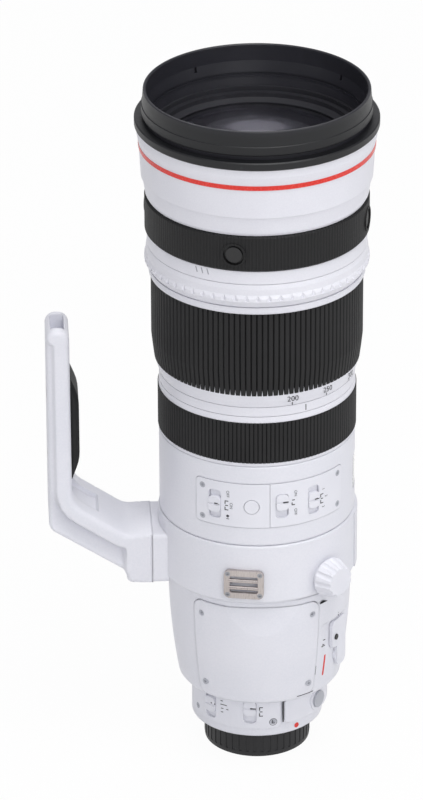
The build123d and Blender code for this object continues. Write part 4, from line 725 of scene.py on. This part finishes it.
def foot_flank(point, from_edge):
    """Half width of the foot, hollowed beside its rib and rounded along its edges."""
    round_radius = seam_round + added_round * ease((foot_seam - point.x) / round_run)
    short = max(0.0, round_radius - from_edge)
    broken = round_radius - math.sqrt(round_radius ** 2 - short ** 2)
    beyond = nearest(point, inner_edge) - rib_width
    sloping = max(0.0, min(1.0, beyond / web_run))
    web = web_depth - (web_depth - web_edge_depth) * sloping
    depth = strip_depth + (web - strip_depth) * ease((strip_start - point.y) / strip_fade)
    hollowed = depth * ease(beyond / rib_slope) * ease((foot_block - point.x) / block_slope)
    return foot_half_width(point.y) - broken - hollowed


def pad_flank(point, from_edge):
    """Half width of the grip pad, rounded along its edges."""
    half_width, edge_drop, edge_run = 12.0, 2.2, 2.6
    return half_width - edge_drop * (1 - ease(from_edge / edge_run))


def sole_bore(height, radius):
    """Round bore of a thread bush, sunk into the sole."""
    bore_depth = 8.0
    shape = bmesh.new()
    bmesh.ops.create_cone(
        shape, cap_ends=True, segments=48, radius1=radius, radius2=radius, depth=2 * bore_depth,
        matrix=(Matrix.Translation((foot_sole, 0, height))
                @ Matrix.Rotation(math.pi / 2, 4, "Y")))
    return mesh_of(shape, "bore")


# Rows of points where the hollow leaves the rib and the block, so that both edges are crisp
rib_steps = (-0.3, 0.3, 0.8, 1.3, 1.8, 2.4)
rib_points = offsets(inner_edge, [-(rib_width + step) for step in rib_steps]
                     + [rib_width + step for step in rib_steps])
block_steps, lowest_row, row_spacing, rows = (0.0, 0.5, 1.0, 1.5, 2.1), 105, 1.1, 22
block_points = [Vector((foot_block - step, lowest_row + row_spacing * row))
                for step in block_steps for row in range(rows)]
sole_margin, seam_margin = 0.3, 0.7
inside_foot = [point for point in rib_points + block_points
               if foot_sole + sole_margin < point.x < foot_seam - seam_margin]

# Channel under the grip pad, pocket in the end of the arm, and the two thread bushes
pad_channel = prism([(-101.9, 166.0), (-101.9, 155.6), (-100.9, 152.2), (-98.5, 148.7),
                     (-88.8, 142.0), (-86.2, 141.4), (-82.0, 147.0), (-86.0, 166.0)],
                    half_width=9.6)
end_pocket = prism([(-109.1, 243.0), (-101.9, 243.0), (-101.9, 253.5), (-109.1, 253.5)],
                   half_width=8.5)
thread_bores = [sole_bore(height=210.3, radius=5.6), sole_bore(height=174.0, radius=4.2)]
foot_casting = place_piece(
    "foot_casting", hollow(casting(foot_outline, foot_edges, foot_flank, inside_foot),
                           [end_pocket, pad_channel] + thread_bores),
    enamel_on_castings, "collar")
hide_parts("foot")

pad_outline = rounded_outline([
    (-101.0, 163.0, 0.3), (-98.9, 163.0, 0.3), (-94.7, 174.5, 26.0),
    (-94.7, 211.5, 26.0), (-98.9, 222.0, 0.3), (-101.0, 222.0, 0.3)])
grip_pad = place_piece(
    "grip_pad", hollow(casting(pad_outline, pad_outline + pad_outline[:1], pad_flank, []), []),
    grip_rubber, "collar")
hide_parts("foot_grip")


# Floor, light and camera, in metres

def seen_by(tree, *rays):
    """1 for a ray of any of these kinds, and 0 for the others."""
    light_path = add_node(tree, "ShaderNodeLightPath")
    seen = light_path.outputs[rays[0]]
    for ray in rays[1:]:
        seen = add_node(tree, "ShaderNodeMath", {
            0: seen, 1: light_path.outputs[ray]}, operation="MAXIMUM").outputs[0]
    return seen


# The camera, metal and glass see this share of the floor as plain white, and the rest of it
# takes the lens's shadow
floor_glow_share, floor_reach, floor_height = 0.96, 6, -0.0002
floor_material = bpy.data.materials.new("pale_matt_floor")
floor_material.use_nodes = True
floor_tree = floor_material.node_tree
floor_shader = floor_tree.nodes["Principled BSDF"]
floor_shader.inputs["Base Color"].default_value = linear("#E6E6E6")
floor_shader.inputs["Roughness"].default_value = 0.9
floor_seen = seen_by(floor_tree, "Is Camera Ray", "Is Glossy Ray", "Is Transmission Ray")
glow_share = add_node(floor_tree, "ShaderNodeMath", {
    0: floor_seen, 1: floor_glow_share}, operation="MULTIPLY").outputs[0]
floor_glow = add_node(floor_tree, "ShaderNodeEmission", {
    "Color": (1, 1, 1, 1), "Strength": 1.0})
floor_mix = add_node(floor_tree, "ShaderNodeMixShader", {
    0: glow_share, 1: floor_shader.outputs[0], 2: floor_glow.outputs[0]})
floor_tree.links.new(floor_mix.outputs[0], floor_tree.nodes["Material Output"].inputs["Surface"])

floor_mesh = bpy.data.meshes.new("floor")
floor_mesh.from_pydata([(x * floor_reach, y * floor_reach, floor_height)
                        for x, y in ((-1, -1), (1, -1), (1, 1), (-1, 1))], [], [(0, 1, 2, 3)])
floor_mesh.materials.append(floor_material)
floor = add_object("floor", floor_mesh)

world = bpy.data.worlds.new("studio")
bpy.context.scene.world = world
world.use_nodes = True
world_tree = world.node_tree
backdrop_seen = seen_by(world_tree, "Is Camera Ray", "Is Transmission Ray")
studio_light = world_tree.nodes["Background"]
studio_light.inputs["Color"].default_value = linear("#F4F4FA")
studio_light.inputs["Strength"].default_value = 0.43
white_backdrop = add_node(world_tree, "ShaderNodeBackground", {
    "Color": (1, 1, 1, 1), "Strength": 1.0})
world_mix = add_node(world_tree, "ShaderNodeMixShader", {
    0: backdrop_seen, 1: studio_light.outputs[0], 2: white_backdrop.outputs[0]})
world_tree.links.new(world_mix.outputs[0], world_tree.nodes["World Output"].inputs["Surface"])

# Softboxes round the barrel, and one that the front glass mirrors, with their power in watts
barrel_middle, glass_middle = (0, 0, 0.2), (0, 0, 0.36)
for name, place, aim, wide, tall, watts in (
        ("key_light", (0.55, -2.3, 1.4), barrel_middle, 1.3, 1.5, 17),
        ("side_light", (2.0, -0.9, 1.2), barrel_middle, 1.0, 1.6, 7),
        ("left_light", (-1.9, -1.2, 1.3), barrel_middle, 1.0, 1.6, 5),
        ("top_light", (0.3, -0.7, 2.3), barrel_middle, 1.4, 1.0, 22),
        ("glass_light", (0.0, 1.25, 1.95), glass_middle, 0.8, 0.8, 9)):
    lamp = bpy.data.lights.new(name, "AREA")
    lamp.shape = "RECTANGLE"
    lamp.size = wide
    lamp.size_y = tall
    lamp.energy = watts
    holder = add_object(name, lamp)
    holder.location = place
    holder.rotation_euler = (Vector(aim) - Vector(place)).to_track_quat("-Z", "Y").to_euler()

# Camera, solved from nine ring ellipses of the photo: focal length and height of the picture
# in pixels, its distance from the optical axis and its height over the floor in metres
focal_pixels, picture_pixels = 5373, 800
camera_away, camera_height, camera_turn, camera_tilt = 2.553, 1.470, -3.4, 26.05
camera_data = bpy.data.cameras.new("photo_camera")
camera_data.sensor_width = 36.0
camera_data.lens = 36.0 * focal_pixels / picture_pixels
camera_data.shift_x = -0.0569
camera_data.shift_y = -0.0425
camera_data.clip_start = 0.1
camera = add_object("photo_camera", camera_data)
turned = math.radians(camera_turn)
camera.location = (camera_away * math.sin(turned), -camera_away * math.cos(turned),
                   camera_height)
camera.rotation_euler = (math.radians(90 - camera_tilt), 0, turned)
bpy.context.scene.camera = camera
bpy.context.scene.view_settings.view_transform = "Standard"
